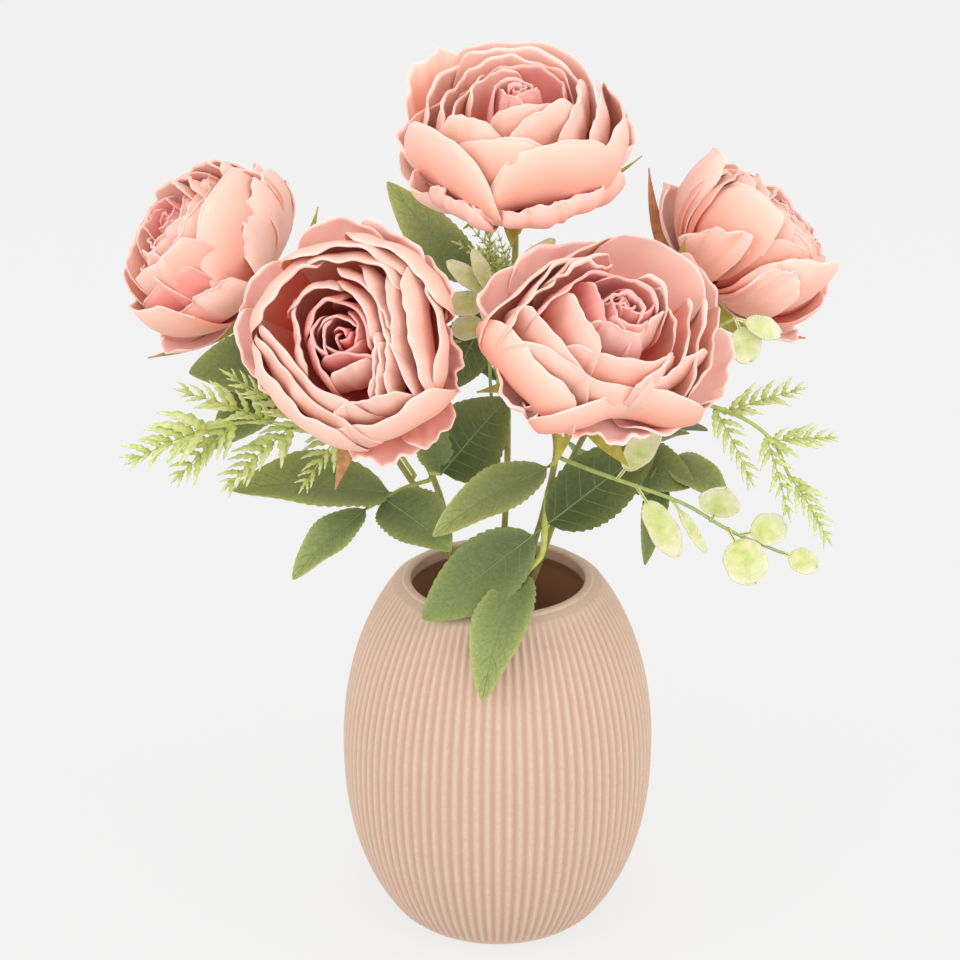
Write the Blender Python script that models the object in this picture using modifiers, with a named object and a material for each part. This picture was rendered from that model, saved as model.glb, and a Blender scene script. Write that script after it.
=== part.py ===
"""Artificial rose bush with five peach-pink blooms in an upright ribbed ceramic vase.

Metres, +Z up. The origin is the centre of the vase's flat underside, and the
side that faces -Y is the front. A short moulded trunk stands on the vase's
floor and forks into five wired stems. Each stem ends in a calyx and a bloom,
and carries compound rose leaves and small sprigs of fern and of round-leaved
filler. Pieces that touch are kept a hair's breadth apart.
"""

import math
import random

import bpy
import bmesh
from mathutils import Vector

# Vase: the wall's radius falls away from its widest height by a power law, up and down
VASE_HEIGHT = 0.1646
VASE_RADIUS = 0.0703
WIDEST_AT = 0.0822
REACH_BELOW = 0.1037
REACH_ABOVE = 0.1052
POWER_BELOW = 2.27
POWER_ABOVE = 2.09
FOOT_EDGE = 0.0020
VASE_WALL = 0.0052
VASE_FLOOR = 0.0070
MOUTH_RADIUS = 0.0390
LIP_ROUND = 0.0015
LIP_BAND = 0.0065
RIB_COUNT = 90
RIB_DEPTH = 0.0011
RIB_LAST = 0.1540
WALL_RINGS = 7
CAVITY_STEPS = 30
CAVITY_RINGS = 5
INSIDE_SHOULDER = 0.0060
CUT_OVER = 0.0040
SHARP_ANGLE = math.radians(50.0)

# Trunk, stems, calyx and tag
TRUNK_FOOT_RADIUS = 0.0054
TRUNK_RADIUS = 0.0047
TRUNK_WAIST = 0.92
TRUNK_TOP = 0.1000
TRUNK_FLARE = 0.0080
TRUNK_CHAMFER = 0.0008
TRUNK_SIDES = 12
STEM_RADIUS = 0.0014
STEM_SPREAD = 0.0028
STEM_STEPS = 8
STEM_STRAIGHT = 0.0040
STEM_FLATS = 1
TWIG_RADIUS = 0.0008
TWIG_STEPS = 5
FERN_TEETH = 3
CALYX_LENGTH = 0.0140
HIP_PROFILE = [(0.0051, 0.0), (0.0060, -0.0035), (0.0048, -0.0085), (0.0024, -CALYX_LENGTH)]
HIP_SIDES = 8
SEPAL_COUNT = 5
SEPAL_ROOT = (0.0030, -0.0035)
SEPAL_LENGTH = 0.0330
SEPAL_WIDTH = 0.0090
SEPAL_ARCH = 0.08
LONG_SEPAL_SAG = 0.08
TAG_WIDTH = 0.0080
TAG_HEIGHT = 0.0300
TAG_ASIDE = 0.0038
TAG_THICKNESS = 0.0004
TAG_AT = 0.1330

# Thin walls, and the clearance between pieces that touch
PETAL_WALL = 0.0011
LEAF_WALL = 0.0006
LEAF_EDGE = 0.0004
LEAF_FOLD = 0.30
GAP = 0.0003
MERGE = 0.00001

# Each bloom's middle, facing, size, depth for its size and turn, the compass angle at
# which its stem leaves the trunk, the way the stem rises, and the tip and width of each
# sepal that reaches out past the petals
BLOOM_MIDDLE = 0.0300
BLOOMS = {
    "left": dict(
        middle=(-0.1245, 0.0200, 0.3092), facing=(-0.76, -0.06, 0.65), size=0.92, depth=1.12,
        turn=0.3, root_angle=162,
        way=[(-0.0250, 0.0120, 0.1770), (-0.0450, 0.0160, 0.2140)],
        sepals=[((-0.1538, 0.0100, 0.2648), 0.0060), ((-0.0783, 0.0200, 0.3311), 0.0055)]),
    "front_left": dict(
        middle=(-0.0615, -0.0750, 0.3043), facing=(-0.20, -0.84, 0.51), size=1.00, depth=1.00,
        turn=0.9, root_angle=234,
        way=[(-0.0200, 0.0020, 0.1720), (-0.0250, -0.0010, 0.2010), (-0.0350, -0.0080, 0.2310)],
        sepals=[((-0.0695, -0.0600, 0.2317), 0.0120)]),
    "top": dict(
        middle=(0.0063, 0.0000, 0.3682), facing=(-0.02, -0.18, 0.98), size=1.04, depth=1.00,
        turn=1.6, root_angle=90,
        way=[(0.0040, 0.0040, 0.2130), (0.0040, 0.0060, 0.2750)],
        sepals=[((0.0609, 0.0000, 0.3605), 0.0040)]),
    "front_right": dict(
        middle=(0.0448, -0.0700, 0.3010), facing=(0.38, -0.55, 0.74), size=1.05, depth=0.98,
        turn=2.2, root_angle=306,
        way=[(0.0140, -0.0030, 0.1720), (0.0200, -0.0100, 0.2000), (0.0250, -0.0220, 0.2320)],
        sepals=[((0.0541, -0.0700, 0.2469), 0.0120)]),
    "right": dict(
        middle=(0.1088, 0.0200, 0.3115), facing=(0.75, 0.09, 0.65), size=0.94, depth=1.10,
        turn=2.9, root_angle=18,
        way=[(0.0220, 0.0030, 0.1800), (0.0290, 0.0040, 0.1950), (0.0325, 0.0060, 0.2180)],
        sepals=[((0.0655, 0.0300, 0.3456), 0.0070), ((0.1366, 0.0290, 0.2670), 0.0100),
                ((0.0786, -0.0280, 0.3338), 0.0070)]),
}

# Rings of petals, from the skirt to the heart, for a bloom of size 1
PETAL_RINGS = [
    dict(count=5, radius=0.0420, foot=0.0032, height=0.0210, arc=1.40, flare=0.0050, half_width=0.68,
         grid=(2, 2)),
    dict(count=5, radius=0.0415, foot=0.0056, height=0.0450, arc=1.75, flare=0.0040, half_width=0.69,
         grid=(3, 3)),
    dict(count=4, radius=0.0340, foot=0.0100, height=0.0465, arc=1.75, flare=0.0020, half_width=0.84,
         grid=(3, 2)),
    dict(count=3, radius=0.0225, foot=0.0160, height=0.0400, arc=1.70, flare=0.0010, half_width=1.09,
         grid=(3, 1)),
]
PETAL_ROOT = 0.0040
PETAL_TUCK = 0.0018
PETAL_CORNER = 0.20
PETAL_NARROW = 0.70
PETAL_LEAN = 0.05
CORE_PROFILE = [
    (0.0000, 0.0520), (0.0070, 0.0480), (0.0150, 0.0370),
    (0.0190, 0.0220), (0.0140, 0.0060), (0.0070, 0.0000), (0.0000, 0.0000),
]
CORE_SIDES = 9

# Foliage: each sprig's kind and stem, the way its blades face, the bends of its twig from
# just off the stem outwards, and for each blade its place along the twig, its tip and width
SPRIGS = {
    "leaf_front": dict(
        kind="rose", stem="front_right", face=(0.0, -0.90, 0.50),
        twig=[(0.0220, -0.0160, 0.2120), (0.0205, -0.0250, 0.2000), (0.0190, -0.0290, 0.1880),
              (0.0130, -0.0310, 0.1810)],
        blades=[(1.00, (-0.0070, -0.0710, 0.1390), 0.0260), (0.45, (-0.0330, -0.0680, 0.1740), 0.0320),
                (0.45, (0.0690, -0.0180, 0.2370), 0.0300)]),
    "leaf_front_upper": dict(
        kind="rose", stem="front_right", face=(0.0, -0.60, 0.80),
        twig=[(0.0250, -0.0260, 0.2310), (0.0220, -0.0300, 0.2300)],
        blades=[(1.00, (-0.0280, -0.0600, 0.2120), 0.0250)]),
    "leaf_left": dict(
        kind="rose", stem="front_left", face=(-0.1, -0.50, 0.85),
        twig=[(-0.0310, -0.0080, 0.2130), (-0.0420, -0.0220, 0.2160), (-0.0570, -0.0320, 0.2110)],
        blades=[(0.70, (-0.1120, -0.0540, 0.2315), 0.0310), (0.80, (-0.0210, -0.0600, 0.2050), 0.0280),
                (1.00, (-0.0890, -0.0560, 0.1895), 0.0170)]),
    "leaf_middle_low": dict(
        kind="rose", stem="front_left", face=(0.1, -0.75, 0.65),
        twig=[(-0.0290, -0.0080, 0.2170), (-0.0250, -0.0120, 0.2190)],
        blades=[(1.00, (0.0030, -0.0170, 0.2560), 0.0340), (0.90, (-0.0290, -0.0130, 0.2560), 0.0200)]),
    "leaf_behind_left": dict(
        kind="rose", stem="left", face=(-0.2, -0.60, 0.75),
        twig=[(-0.0720, 0.0120, 0.2600), (-0.0860, 0.0000, 0.2600)],
        blades=[(1.00, (-0.1320, -0.0220, 0.2720), 0.0320), (0.85, (-0.1240, -0.0300, 0.2400), 0.0280)]),
    "leaf_upper_left": dict(
        kind="rose", stem="top", face=(-0.3, -0.80, 0.45),
        twig=[(0.0000, 0.0020, 0.2930), (-0.0090, -0.0060, 0.3060)],
        blades=[(1.00, (-0.0465, -0.0200, 0.3540), 0.0210)]),
    "leaf_middle": dict(
        kind="rose", stem="top", face=(-0.3, -0.80, 0.50),
        twig=[(-0.0010, 0.0070, 0.2880), (-0.0040, 0.0060, 0.2880)],
        blades=[(1.00, (-0.0210, 0.0040, 0.2530), 0.0240)]),
    "leaf_right": dict(
        kind="rose", stem="right", face=(0.1, -0.60, 0.80),
        twig=[(0.0380, 0.0020, 0.2200), (0.0540, -0.0080, 0.2200), (0.0740, -0.0100, 0.2240)],
        blades=[(0.55, (0.0850, -0.0220, 0.2190), 0.0270), (1.00, (0.1005, -0.0200, 0.2130), 0.0180),
                (0.95, (0.0640, -0.0370, 0.1870), 0.0110)]),
    "leaf_back_left": dict(
        kind="rose", stem="left", face=(-0.2, 0.60, 0.80),
        twig=[(-0.0360, 0.0200, 0.2060), (-0.0470, 0.0330, 0.2130), (-0.0600, 0.0430, 0.2160)],
        blades=[(1.00, (-0.1020, 0.0700, 0.2220), 0.0290), (0.60, (-0.0830, 0.0330, 0.2400), 0.0260),
                (0.60, (-0.0400, 0.0760, 0.2000), 0.0260)]),
    "leaf_back_middle": dict(
        kind="rose", stem="top", face=(0.0, 0.70, 0.70),
        twig=[(0.0030, 0.0110, 0.2380), (0.0000, 0.0240, 0.2480), (-0.0020, 0.0360, 0.2540)],
        blades=[(1.00, (-0.0080, 0.0780, 0.2640), 0.0280), (0.60, (-0.0420, 0.0430, 0.2660), 0.0270),
                (0.60, (0.0370, 0.0500, 0.2500), 0.0270)]),
    "leaf_back_right": dict(
        kind="rose", stem="right", face=(0.2, 0.60, 0.80),
        twig=[(0.0330, 0.0110, 0.2060), (0.0430, 0.0270, 0.2100), (0.0560, 0.0390, 0.2110)],
        blades=[(1.00, (0.0960, 0.0640, 0.2110), 0.0290), (0.60, (0.0850, 0.0210, 0.2270), 0.0260),
                (0.60, (0.0400, 0.0720, 0.1930), 0.0260)]),
    "fern_left": dict(
        kind="fern", stem="front_left", face=(-0.1, -0.55, 0.85),
        twig=[(-0.0520, -0.0280, 0.2560), (-0.0720, -0.0420, 0.2510), (-0.1000, -0.0500, 0.2590),
              (-0.1230, -0.0580, 0.2590)],
        blades=[(0.68, (-0.1360, -0.0500, 0.2730), 0.0180), (0.50, (-0.1170, -0.0440, 0.2790), 0.0180),
                (1.00, (-0.1560, -0.0660, 0.2460), 0.0220), (0.85, (-0.1370, -0.0660, 0.2380), 0.0200),
                (0.60, (-0.1160, -0.0660, 0.2340), 0.0200), (0.35, (-0.0840, -0.0580, 0.2300), 0.0180)]),
    "fern_right": dict(
        kind="fern", stem="right", face=(0.1, -0.60, 0.80),
        twig=[(0.0580, 0.0000, 0.2600), (0.0820, -0.0240, 0.2590), (0.1010, -0.0340, 0.2560),
              (0.1170, -0.0360, 0.2450), (0.1250, -0.0380, 0.2290)],
        blades=[(0.55, (0.1310, -0.0300, 0.2660), 0.0150), (0.48, (0.1090, -0.0440, 0.2270), 0.0150),
                (0.76, (0.1250, -0.0460, 0.2120), 0.0130), (0.80, (0.1450, -0.0320, 0.2440), 0.0140),
                (1.00, (0.1430, -0.0440, 0.2000), 0.0150)]),
    "fern_top": dict(
        kind="fern", stem="top", face=(-0.1, -0.80, 0.60),
        twig=[(0.0040, 0.0000, 0.3050), (-0.0010, -0.0060, 0.3100), (-0.0040, -0.0090, 0.3140)],
        blades=[(0.60, (-0.0130, -0.0210, 0.3270), 0.0100), (1.00, (-0.0040, -0.0150, 0.3320), 0.0110)]),
    "fern_back": dict(
        kind="fern", stem="top", face=(0.0, 0.70, 0.70),
        twig=[(0.0060, 0.0120, 0.2650), (0.0140, 0.0340, 0.2780), (0.0180, 0.0560, 0.2860)],
        blades=[(1.00, (0.0200, 0.0860, 0.2880), 0.0150), (0.55, (0.0430, 0.0520, 0.2900), 0.0150),
                (0.60, (-0.0080, 0.0640, 0.2960), 0.0150), (0.80, (0.0400, 0.0720, 0.2820), 0.0140)]),
    "filler_right": dict(
        kind="round", stem="front_right", face=(0.1, -0.85, 0.50),
        twig=[(0.0300, -0.0250, 0.2300), (0.0420, -0.0340, 0.2290), (0.0590, -0.0400, 0.2250),
              (0.0800, -0.0460, 0.2190), (0.1000, -0.0500, 0.2080), (0.1220, -0.0500, 0.1980)],
        blades=[(0.42, (0.0680, -0.0440, 0.2540), 0.0120), (0.50, (0.0770, -0.0540, 0.1980), 0.0130),
                (0.62, (0.0890, -0.0540, 0.2000), 0.0050), (0.76, (0.0965, -0.0560, 0.2310), 0.0180),
                (0.82, (0.1100, -0.0620, 0.1890), 0.0190), (0.86, (0.1240, -0.0440, 0.2080), 0.0140),
                (1.00, (0.1370, -0.0540, 0.1930), 0.0110)]),
    "filler_top": dict(
        kind="round", stem="top", face=(0.0, -0.85, 0.50),
        twig=[(0.0000, 0.0020, 0.2250), (-0.0030, 0.0000, 0.2500), (-0.0040, -0.0120, 0.2850),
              (-0.0030, -0.0150, 0.3020)],
        blades=[(1.00, (-0.0220, -0.0240, 0.3160), 0.0130), (0.95, (-0.0260, -0.0300, 0.2960), 0.0150),
                (0.80, (-0.0220, -0.0230, 0.2880), 0.0140), (1.00, (0.0200, -0.0260, 0.3190), 0.0100),
                (0.95, (0.0180, -0.0200, 0.3090), 0.0100)]),
    "filler_under_right": dict(
        kind="round", stem="right", face=(0.2, -0.80, 0.55),
        twig=[(0.0620, 0.0040, 0.2680), (0.0700, -0.0160, 0.2760), (0.0860, -0.0290, 0.2900),
              (0.1000, -0.0300, 0.2980)],
        blades=[(1.00, (0.1070, -0.0320, 0.2790), 0.0150), (1.00, (0.1200, -0.0280, 0.2900), 0.0100)]),
    "filler_back": dict(
        kind="round", stem="left", face=(-0.1, 0.80, 0.55),
        twig=[(-0.0560, 0.0230, 0.2350), (-0.0640, 0.0420, 0.2560), (-0.0700, 0.0600, 0.2700)],
        blades=[(1.00, (-0.0760, 0.0820, 0.2780), 0.0170), (0.60, (-0.0880, 0.0560, 0.2740), 0.0170),
                (0.62, (-0.0480, 0.0620, 0.2760), 0.0170), (0.85, (-0.0820, 0.0720, 0.2560), 0.0150),
                (0.35, (-0.0420, 0.0460, 0.2600), 0.0140)]),
}


def finish(name, colour, roughness):
    """A plain coat of one colour."""
    coat = bpy.data.materials.new(name)
    coat.use_nodes = True
    shader = coat.node_tree.nodes["Principled BSDF"]
    shader.inputs["Base Color"].default_value = (*colour, 1.0)
    shader.inputs["Roughness"].default_value = roughness
    shader.inputs["Metallic"].default_value = 0.0
    return coat


def new_collection(name):
    group = bpy.data.collections.new(name)
    bpy.context.scene.collection.children.link(group)
    return group


def place(name, mesh, group):
    piece = bpy.data.objects.new(name, mesh)
    group.objects.link(piece)
    return piece


def evaluated_mesh(piece):
    """The mesh as its modifiers leave it."""
    bpy.context.view_layer.update()
    graph = bpy.context.evaluated_depsgraph_get()
    return bpy.data.meshes.new_from_object(piece.evaluated_get(graph))


def outer_skin(mesh):
    """Keeps the largest connected surface, so sealed hollows fill and loose scraps drop."""
    bm = bmesh.new()
    bm.from_mesh(mesh)
    shells = []
    unseen = set(bm.faces)
    while unseen:
        shell = set()
        waiting = [unseen.pop()]
        while waiting:
            face = waiting.pop()
            shell.add(face)
            for edge in face.edges:
                for other in edge.link_faces:
                    if other in unseen:
                        unseen.remove(other)
                        waiting.append(other)
        shells.append(shell)
    largest = max(shells, key=len)
    bmesh.ops.delete(bm, geom=[face for face in bm.faces if face not in largest], context="FACES")
    bm.to_mesh(mesh)
    bm.free()


def fuse(name, pieces, coat, group):
    """One body from overlapping closed pieces, by one union of all with the first."""
    base = pieces[0]
    others = new_collection(name + "_others")
    for piece in pieces[1:]:
        others.objects.link(piece)
        workshop.objects.unlink(piece)
    if others.objects:
        union = base.modifiers.new("union", "BOOLEAN")
        union.operation = "UNION"
        union.operand_type = "COLLECTION"
        union.collection = others
        union.solver = "MANIFOLD"
    mesh = evaluated_mesh(base)
    mesh.name = name
    for piece in list(others.objects) + [base]:
        bpy.data.objects.remove(piece)
    bpy.data.collections.remove(others)
    outer_skin(mesh)
    mesh.shade_smooth()
    mesh.set_sharp_from_angle(angle=SHARP_ANGLE)
    mesh.materials.clear()
    mesh.materials.append(coat)
    return place(name, mesh, group)


def turned(name, profile, steps):
    """A closed turned body: a half profile of (radius, height), top to bottom, spun round Z."""
    mesh = bpy.data.meshes.new(name)
    points = [(radius, 0.0, height) for radius, height in profile]
    mesh.from_pydata(points, [(i, i + 1) for i in range(len(points) - 1)], [])
    piece = place(name, mesh, workshop)
    spin = piece.modifiers.new("spin", "SCREW")
    spin.steps = steps
    spin.render_steps = steps
    spin.use_merge_vertices = True
    spin.merge_threshold = MERGE
    piece.data = evaluated_mesh(piece)
    piece.modifiers.clear()
    bpy.data.meshes.remove(mesh)
    return piece


def sheet(name, shape, across, along, thickness):
    """A thin closed blade: a flat grid bent by shape(u, v), u from -1 to 1 and v from 0 to 1."""
    mesh = bpy.data.meshes.new(name)
    bm = bmesh.new()
    bmesh.ops.create_grid(bm, x_segments=across, y_segments=along, size=1.0)
    for vert in bm.verts:
        vert.co = shape(vert.co.x, (vert.co.y + 1.0) / 2.0)
    bm.to_mesh(mesh)
    bm.free()
    piece = place(name, mesh, workshop)
    wall = piece.modifiers.new("wall", "SOLIDIFY")
    wall.thickness = thickness
    wall.offset = 0.0
    return piece


def smooth_path(points, first_way, last_way, steps):
    """Points on a smooth curve through the given points, by cubic pieces that share their slopes."""
    points = [Vector(point) for point in points]
    slopes = [(after - before) / 2.0 for before, after in zip(points, points[2:])]
    slopes.insert(0, Vector(first_way).normalized() * (points[1] - points[0]).length)
    slopes.append(Vector(last_way).normalized() * (points[-1] - points[-2]).length)
    path = []
    for step in range(steps + 1):
        place_on = step / steps * (len(points) - 1)
        piece = min(int(place_on), len(points) - 2)
        t = place_on - piece
        path.append(points[piece] * (2 * t**3 - 3 * t**2 + 1) + slopes[piece] * (t**3 - 2 * t**2 + t)
                    + points[piece + 1] * (3 * t**2 - 2 * t**3) + slopes[piece + 1] * (t**3 - t**2))
    return path


def tube(name, path, radius, resolution):
    """A round bar along a path, as a closed mesh. Its sides are 4 + 2 x resolution."""
    curve = bpy.data.curves.new(name, "CURVE")
    curve.dimensions = "3D"
    curve.bevel_depth = radius
    curve.bevel_resolution = resolution
    curve.use_fill_caps = True
    spline = curve.splines.new("POLY")
    spline.points.add(len(path) - 1)
    for slot, point in zip(spline.points, path):
        slot.co = (*point, 1.0)
    bar = place(name, curve, workshop)
    mesh = evaluated_mesh(bar)
    bpy.data.objects.remove(bar)
    bpy.data.curves.remove(curve)
    bm = bmesh.new()
    bm.from_mesh(mesh)
    bmesh.ops.remove_doubles(bm, verts=bm.verts, dist=MERGE)
    bmesh.ops.recalc_face_normals(bm, faces=bm.faces)
    bm.to_mesh(mesh)
    bm.free()
    return place(name, mesh, workshop)


def along_path(path, share):
    """The point at a share of the way along a path of points."""
    spot = share * (len(path) - 1)
    before = min(int(spot), len(path) - 2)
    return path[before].lerp(path[before + 1], spot - before)


def wall_radius(height):
    """The vase's outer radius at a height."""
    if height < WIDEST_AT:
        fall = ((WIDEST_AT - height) / REACH_BELOW) ** POWER_BELOW
    else:
        fall = ((height - WIDEST_AT) / REACH_ABOVE) ** POWER_ABOVE
    return VASE_RADIUS * math.sqrt(1.0 - fall)


def make_vase(coat):
    """A turned egg with upright ribs, hollowed by a turned cutter. The rings of its wall crowd
    towards its foot and lip, where it bends most."""
    low = FOOT_EDGE
    high = VASE_HEIGHT - 2.0 * LIP_ROUND
    shares = [i / WALL_RINGS for i in range(WALL_RINGS + 1)]
    crowded = [share / 2.0 + (1.0 - math.cos(math.pi * share)) / 4.0 for share in shares]
    rings = [low + (RIB_LAST - low) * share for share in crowded]
    rings.append(high)
    outline = [(0.0, VASE_HEIGHT), (wall_radius(VASE_HEIGHT) - LIP_ROUND, VASE_HEIGHT)]
    outline += [(wall_radius(height), height) for height in reversed(rings)]
    outline += [(wall_radius(0.0) - FOOT_EDGE, 0.0), (0.0, 0.0)]
    body = turned("vase_body", outline, 2 * RIB_COUNT)
    groove_angle = math.pi / RIB_COUNT
    for vert in body.data.vertices:
        spot = vert.co.xy.length
        column = round(math.atan2(vert.co.y, vert.co.x) / groove_angle)
        on_wall = low + MERGE < vert.co.z < RIB_LAST + MERGE
        if on_wall and spot > MOUTH_RADIUS and column % 2:
            vert.co.xy *= (spot - RIB_DEPTH) / spot

    inside_top = VASE_HEIGHT - LIP_BAND
    inside_rise = inside_top - INSIDE_SHOULDER - VASE_FLOOR
    inner = [VASE_FLOOR + inside_rise * i / CAVITY_RINGS for i in range(CAVITY_RINGS + 1)]
    hollow = [(0.0, VASE_HEIGHT + CUT_OVER), (MOUTH_RADIUS + LIP_ROUND, VASE_HEIGHT + CUT_OVER)]
    hollow += [(MOUTH_RADIUS + LIP_ROUND, VASE_HEIGHT), (MOUTH_RADIUS, VASE_HEIGHT - LIP_ROUND)]
    hollow += [(MOUTH_RADIUS, inside_top)]
    hollow += [(wall_radius(height) - VASE_WALL - RIB_DEPTH, height) for height in reversed(inner)]
    hollow += [(0.0, VASE_FLOOR)]
    cutter = turned("vase_hollow", hollow, CAVITY_STEPS)
    cutters.objects.link(cutter)
    workshop.objects.unlink(cutter)
    cutter.hide_render = True
    cutter.display_type = "WIRE"

    cut = body.modifiers.new("hollow", "BOOLEAN")
    cut.operation = "DIFFERENCE"
    cut.object = cutter
    mesh = evaluated_mesh(body)
    mesh.name = "vase"
    bpy.data.objects.remove(body)
    mesh.materials.clear()
    mesh.materials.append(coat)
    vase = place("vase", mesh, bush)
    mesh.set_sharp_from_angle(angle=SHARP_ANGLE)
    return vase


def make_trunk(coat):
    """The moulded trunk: a round bar with a slight flare at its foot and a flat top."""
    foot = VASE_FLOOR + GAP
    profile = [(0.0, TRUNK_TOP), (TRUNK_RADIUS - TRUNK_CHAMFER, TRUNK_TOP),
               (TRUNK_RADIUS, TRUNK_TOP - TRUNK_CHAMFER), (TRUNK_RADIUS * TRUNK_WAIST, 0.5 * TRUNK_TOP),
               (TRUNK_RADIUS, foot + TRUNK_FLARE), (TRUNK_FOOT_RADIUS, foot), (0.0, foot)]
    return fuse("trunk", [turned("trunk_bar", profile, TRUNK_SIDES)], coat, bush)


def bloom_base(bloom):
    """The centre of the flat underside of a bloom."""
    return Vector(bloom["middle"]) - Vector(bloom["facing"]).normalized() * BLOOM_MIDDLE * bloom["size"]


def make_stem(name, bloom, coat):
    """A wired stem from the trunk's flat top to just below its calyx."""
    angle = math.radians(bloom["root_angle"])
    root = Vector((STEM_SPREAD * math.cos(angle), STEM_SPREAD * math.sin(angle), TRUNK_TOP + GAP))
    facing = Vector(bloom["facing"]).normalized()
    tip = bloom_base(bloom) - facing * (CALYX_LENGTH + 2.0 * GAP)
    first = root + Vector((0.0, 0.0, STEM_STRAIGHT))
    last = tip - facing * STEM_STRAIGHT
    path = [root, *smooth_path([first, *bloom["way"], last], (0.0, 0.0, 1.0), facing, STEM_STEPS), tip]
    fuse("stem_" + name, [tube("bar", path, STEM_RADIUS, STEM_FLATS)], coat, bush)
    return path


def upright_to(facing, origin):
    """The placing that turns a piece made along +Z to a facing and moves it to an origin."""
    turn = Vector(facing).to_track_quat("Z", "Y").to_matrix().to_4x4()
    turn.translation = origin
    return turn


def petal_shape(ring, size, depth, angle, lean, wave):
    """A petal as part of a cup: a sine from root to rim outwards, a cosine upwards, with the
    rim flared and waved and the corners cut round. One side is moved outwards off the cup and
    the other inwards, so that neighbours tuck behind each other."""
    span = ring["radius"] * lean - PETAL_ROOT
    rise = ring["height"] / (1.0 - math.cos(ring["arc"])) / lean

    def shape(u, v):
        reach = v * (1.0 - PETAL_CORNER * abs(u) ** 3)
        arc = ring["arc"] * reach
        across = Vector((rise * math.sin(arc), -span * math.cos(arc))).normalized()
        radius = PETAL_ROOT + span * math.sin(arc) + PETAL_TUCK * u * across.x
        radius += ring["flare"] * reach**4 + wave * math.sin(5.0 * u + angle * 7.0) * reach**3
        height = ring["foot"] + rise * (1.0 - math.cos(arc)) + PETAL_TUCK * u * across.y
        spread = PETAL_NARROW + (1.0 - PETAL_NARROW) * min(1.0, 2.0 * v)
        turn = angle + u * ring["half_width"] * spread
        return Vector((radius * math.cos(turn), radius * math.sin(turn), height * depth)) * size
    return shape


def make_bloom(name, bloom, coat):
    """A rounded core with rings of cupped petals, all fused."""
    chance = random.Random(name)
    size = bloom["size"]
    depth = bloom["depth"]
    profile = [(radius * size, height * size * depth) for radius, height in CORE_PROFILE]
    pieces = [turned("core", profile, CORE_SIDES)]
    for order, ring in enumerate(PETAL_RINGS):
        for number in range(ring["count"]):
            angle = bloom["turn"] + 2.0 * math.pi * (number + 0.37 * order) / ring["count"]
            lean = 1.0 + chance.uniform(-PETAL_LEAN, PETAL_LEAN)
            wave = chance.uniform(0.0005, 0.0012) * ring["radius"] / 0.04
            shape = petal_shape(ring, size, depth, angle, lean, wave)
            pieces.append(sheet("petal", shape, *ring["grid"], PETAL_WALL))
    flower = fuse("bloom_" + name, pieces, coat, bush)
    flower.data.transform(upright_to(bloom["facing"], bloom_base(bloom)))
    return flower


def make_calyx(name, bloom, coat):
    """A small turned hip with five sepals that spread under the bloom. Each sepal with a tip of
    its own takes the nearest of the five places, and sags under the petals on its way."""
    chance = random.Random("calyx " + name)
    placing = upright_to(bloom["facing"], bloom_base(bloom))
    angles = [bloom["turn"] + 2.0 * math.pi * (number + 0.5) / SEPAL_COUNT for number in range(SEPAL_COUNT)]
    long_sepals = {}
    for tip, width in bloom["sepals"]:
        aim = placing.inverted() @ Vector(tip)
        toward = math.atan2(aim.y, aim.x)
        nearest = min(range(SEPAL_COUNT), key=lambda i: abs(math.remainder(angles[i] - toward, 2.0 * math.pi)))
        long_sepals[nearest] = (aim, width)
    profile = [(radius, height - GAP) for radius, height in HIP_PROFILE]
    pieces = [turned("hip", [(0.0, profile[0][1]), *profile, (0.0, profile[-1][1])], HIP_SIDES)]
    for number, angle in enumerate(angles):
        length = SEPAL_LENGTH * chance.uniform(0.75, 1.15)
        fall = chance.uniform(0.05, 0.32)
        width, arch = SEPAL_WIDTH, SEPAL_ARCH
        if number in long_sepals:
            tip, width = long_sepals[number]
            arch = -LONG_SEPAL_SAG
            angle = math.atan2(tip.y, tip.x)
        out = Vector((math.cos(angle), math.sin(angle), 0.0))
        root = out * SEPAL_ROOT[0] + Vector((0.0, 0.0, SEPAL_ROOT[1]))
        if number not in long_sepals:
            tip = root + out * length + Vector((0.0, 0.0, -fall * length))
        pieces.append(blade(root, tip, width, (0.0, 0.0, 1.0), leaf_outline, 1, 3, arch))
    calyx = fuse("calyx_" + name, pieces, coat, bush)
    calyx.data.transform(placing)
    return calyx


def leaf_outline(v):
    """Half width of a pointed leaf, broadest below its middle, as a share of its width."""
    return 0.5 * max(0.0, math.sin(math.pi * max(0.0, (v - 0.05) / 0.95) ** 0.8)) ** 0.7


def round_outline(v):
    """Half width of a disc on a short narrow stalk."""
    disc = max(0.0, (v - 0.25) / 0.75)
    return 0.5 * math.sqrt(max(0.0, 1.0 - (2.0 * disc - 1.0) ** 2))


def fern_outline(v):
    """Half width of a toothed frond that narrows to its tip."""
    tooth = 1.0 if round(v * 2 * FERN_TEETH) % 2 else 0.28
    return 0.5 * tooth * (1.0 - 0.75 * v)


# For each kind of blade: its outline, its faces across and along, and its arch
BLADE_FORMS = {
    "rose": (leaf_outline, 2, 4, 0.07),
    "fern": (fern_outline, 1, 2 * FERN_TEETH, 0.05),
    "round": (round_outline, 1, 5, 0.06),
}


def blade(root, tip, width, face, outline, across, along, arch):
    """A leaf from root to tip, its upper side turned to face, arched and folded at its midrib.
    It starts a twig's radius behind its root, so that it is sunk in the twig."""
    root = Vector(root)
    root -= (Vector(tip) - root).normalized() * TWIG_RADIUS
    run = Vector(tip) - root
    side = run.cross(Vector(face)).normalized()
    up = side.cross(run).normalized()

    def shape(u, v):
        half = max(width * outline(v), LEAF_EDGE)
        rise = arch * run.length * math.sin(math.pi * v) + LEAF_FOLD * half * (abs(u) - 0.5)
        return root + run * v + side * (u * half) + up * rise
    return sheet("blade", shape, across, along, LEAF_WALL)


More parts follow.
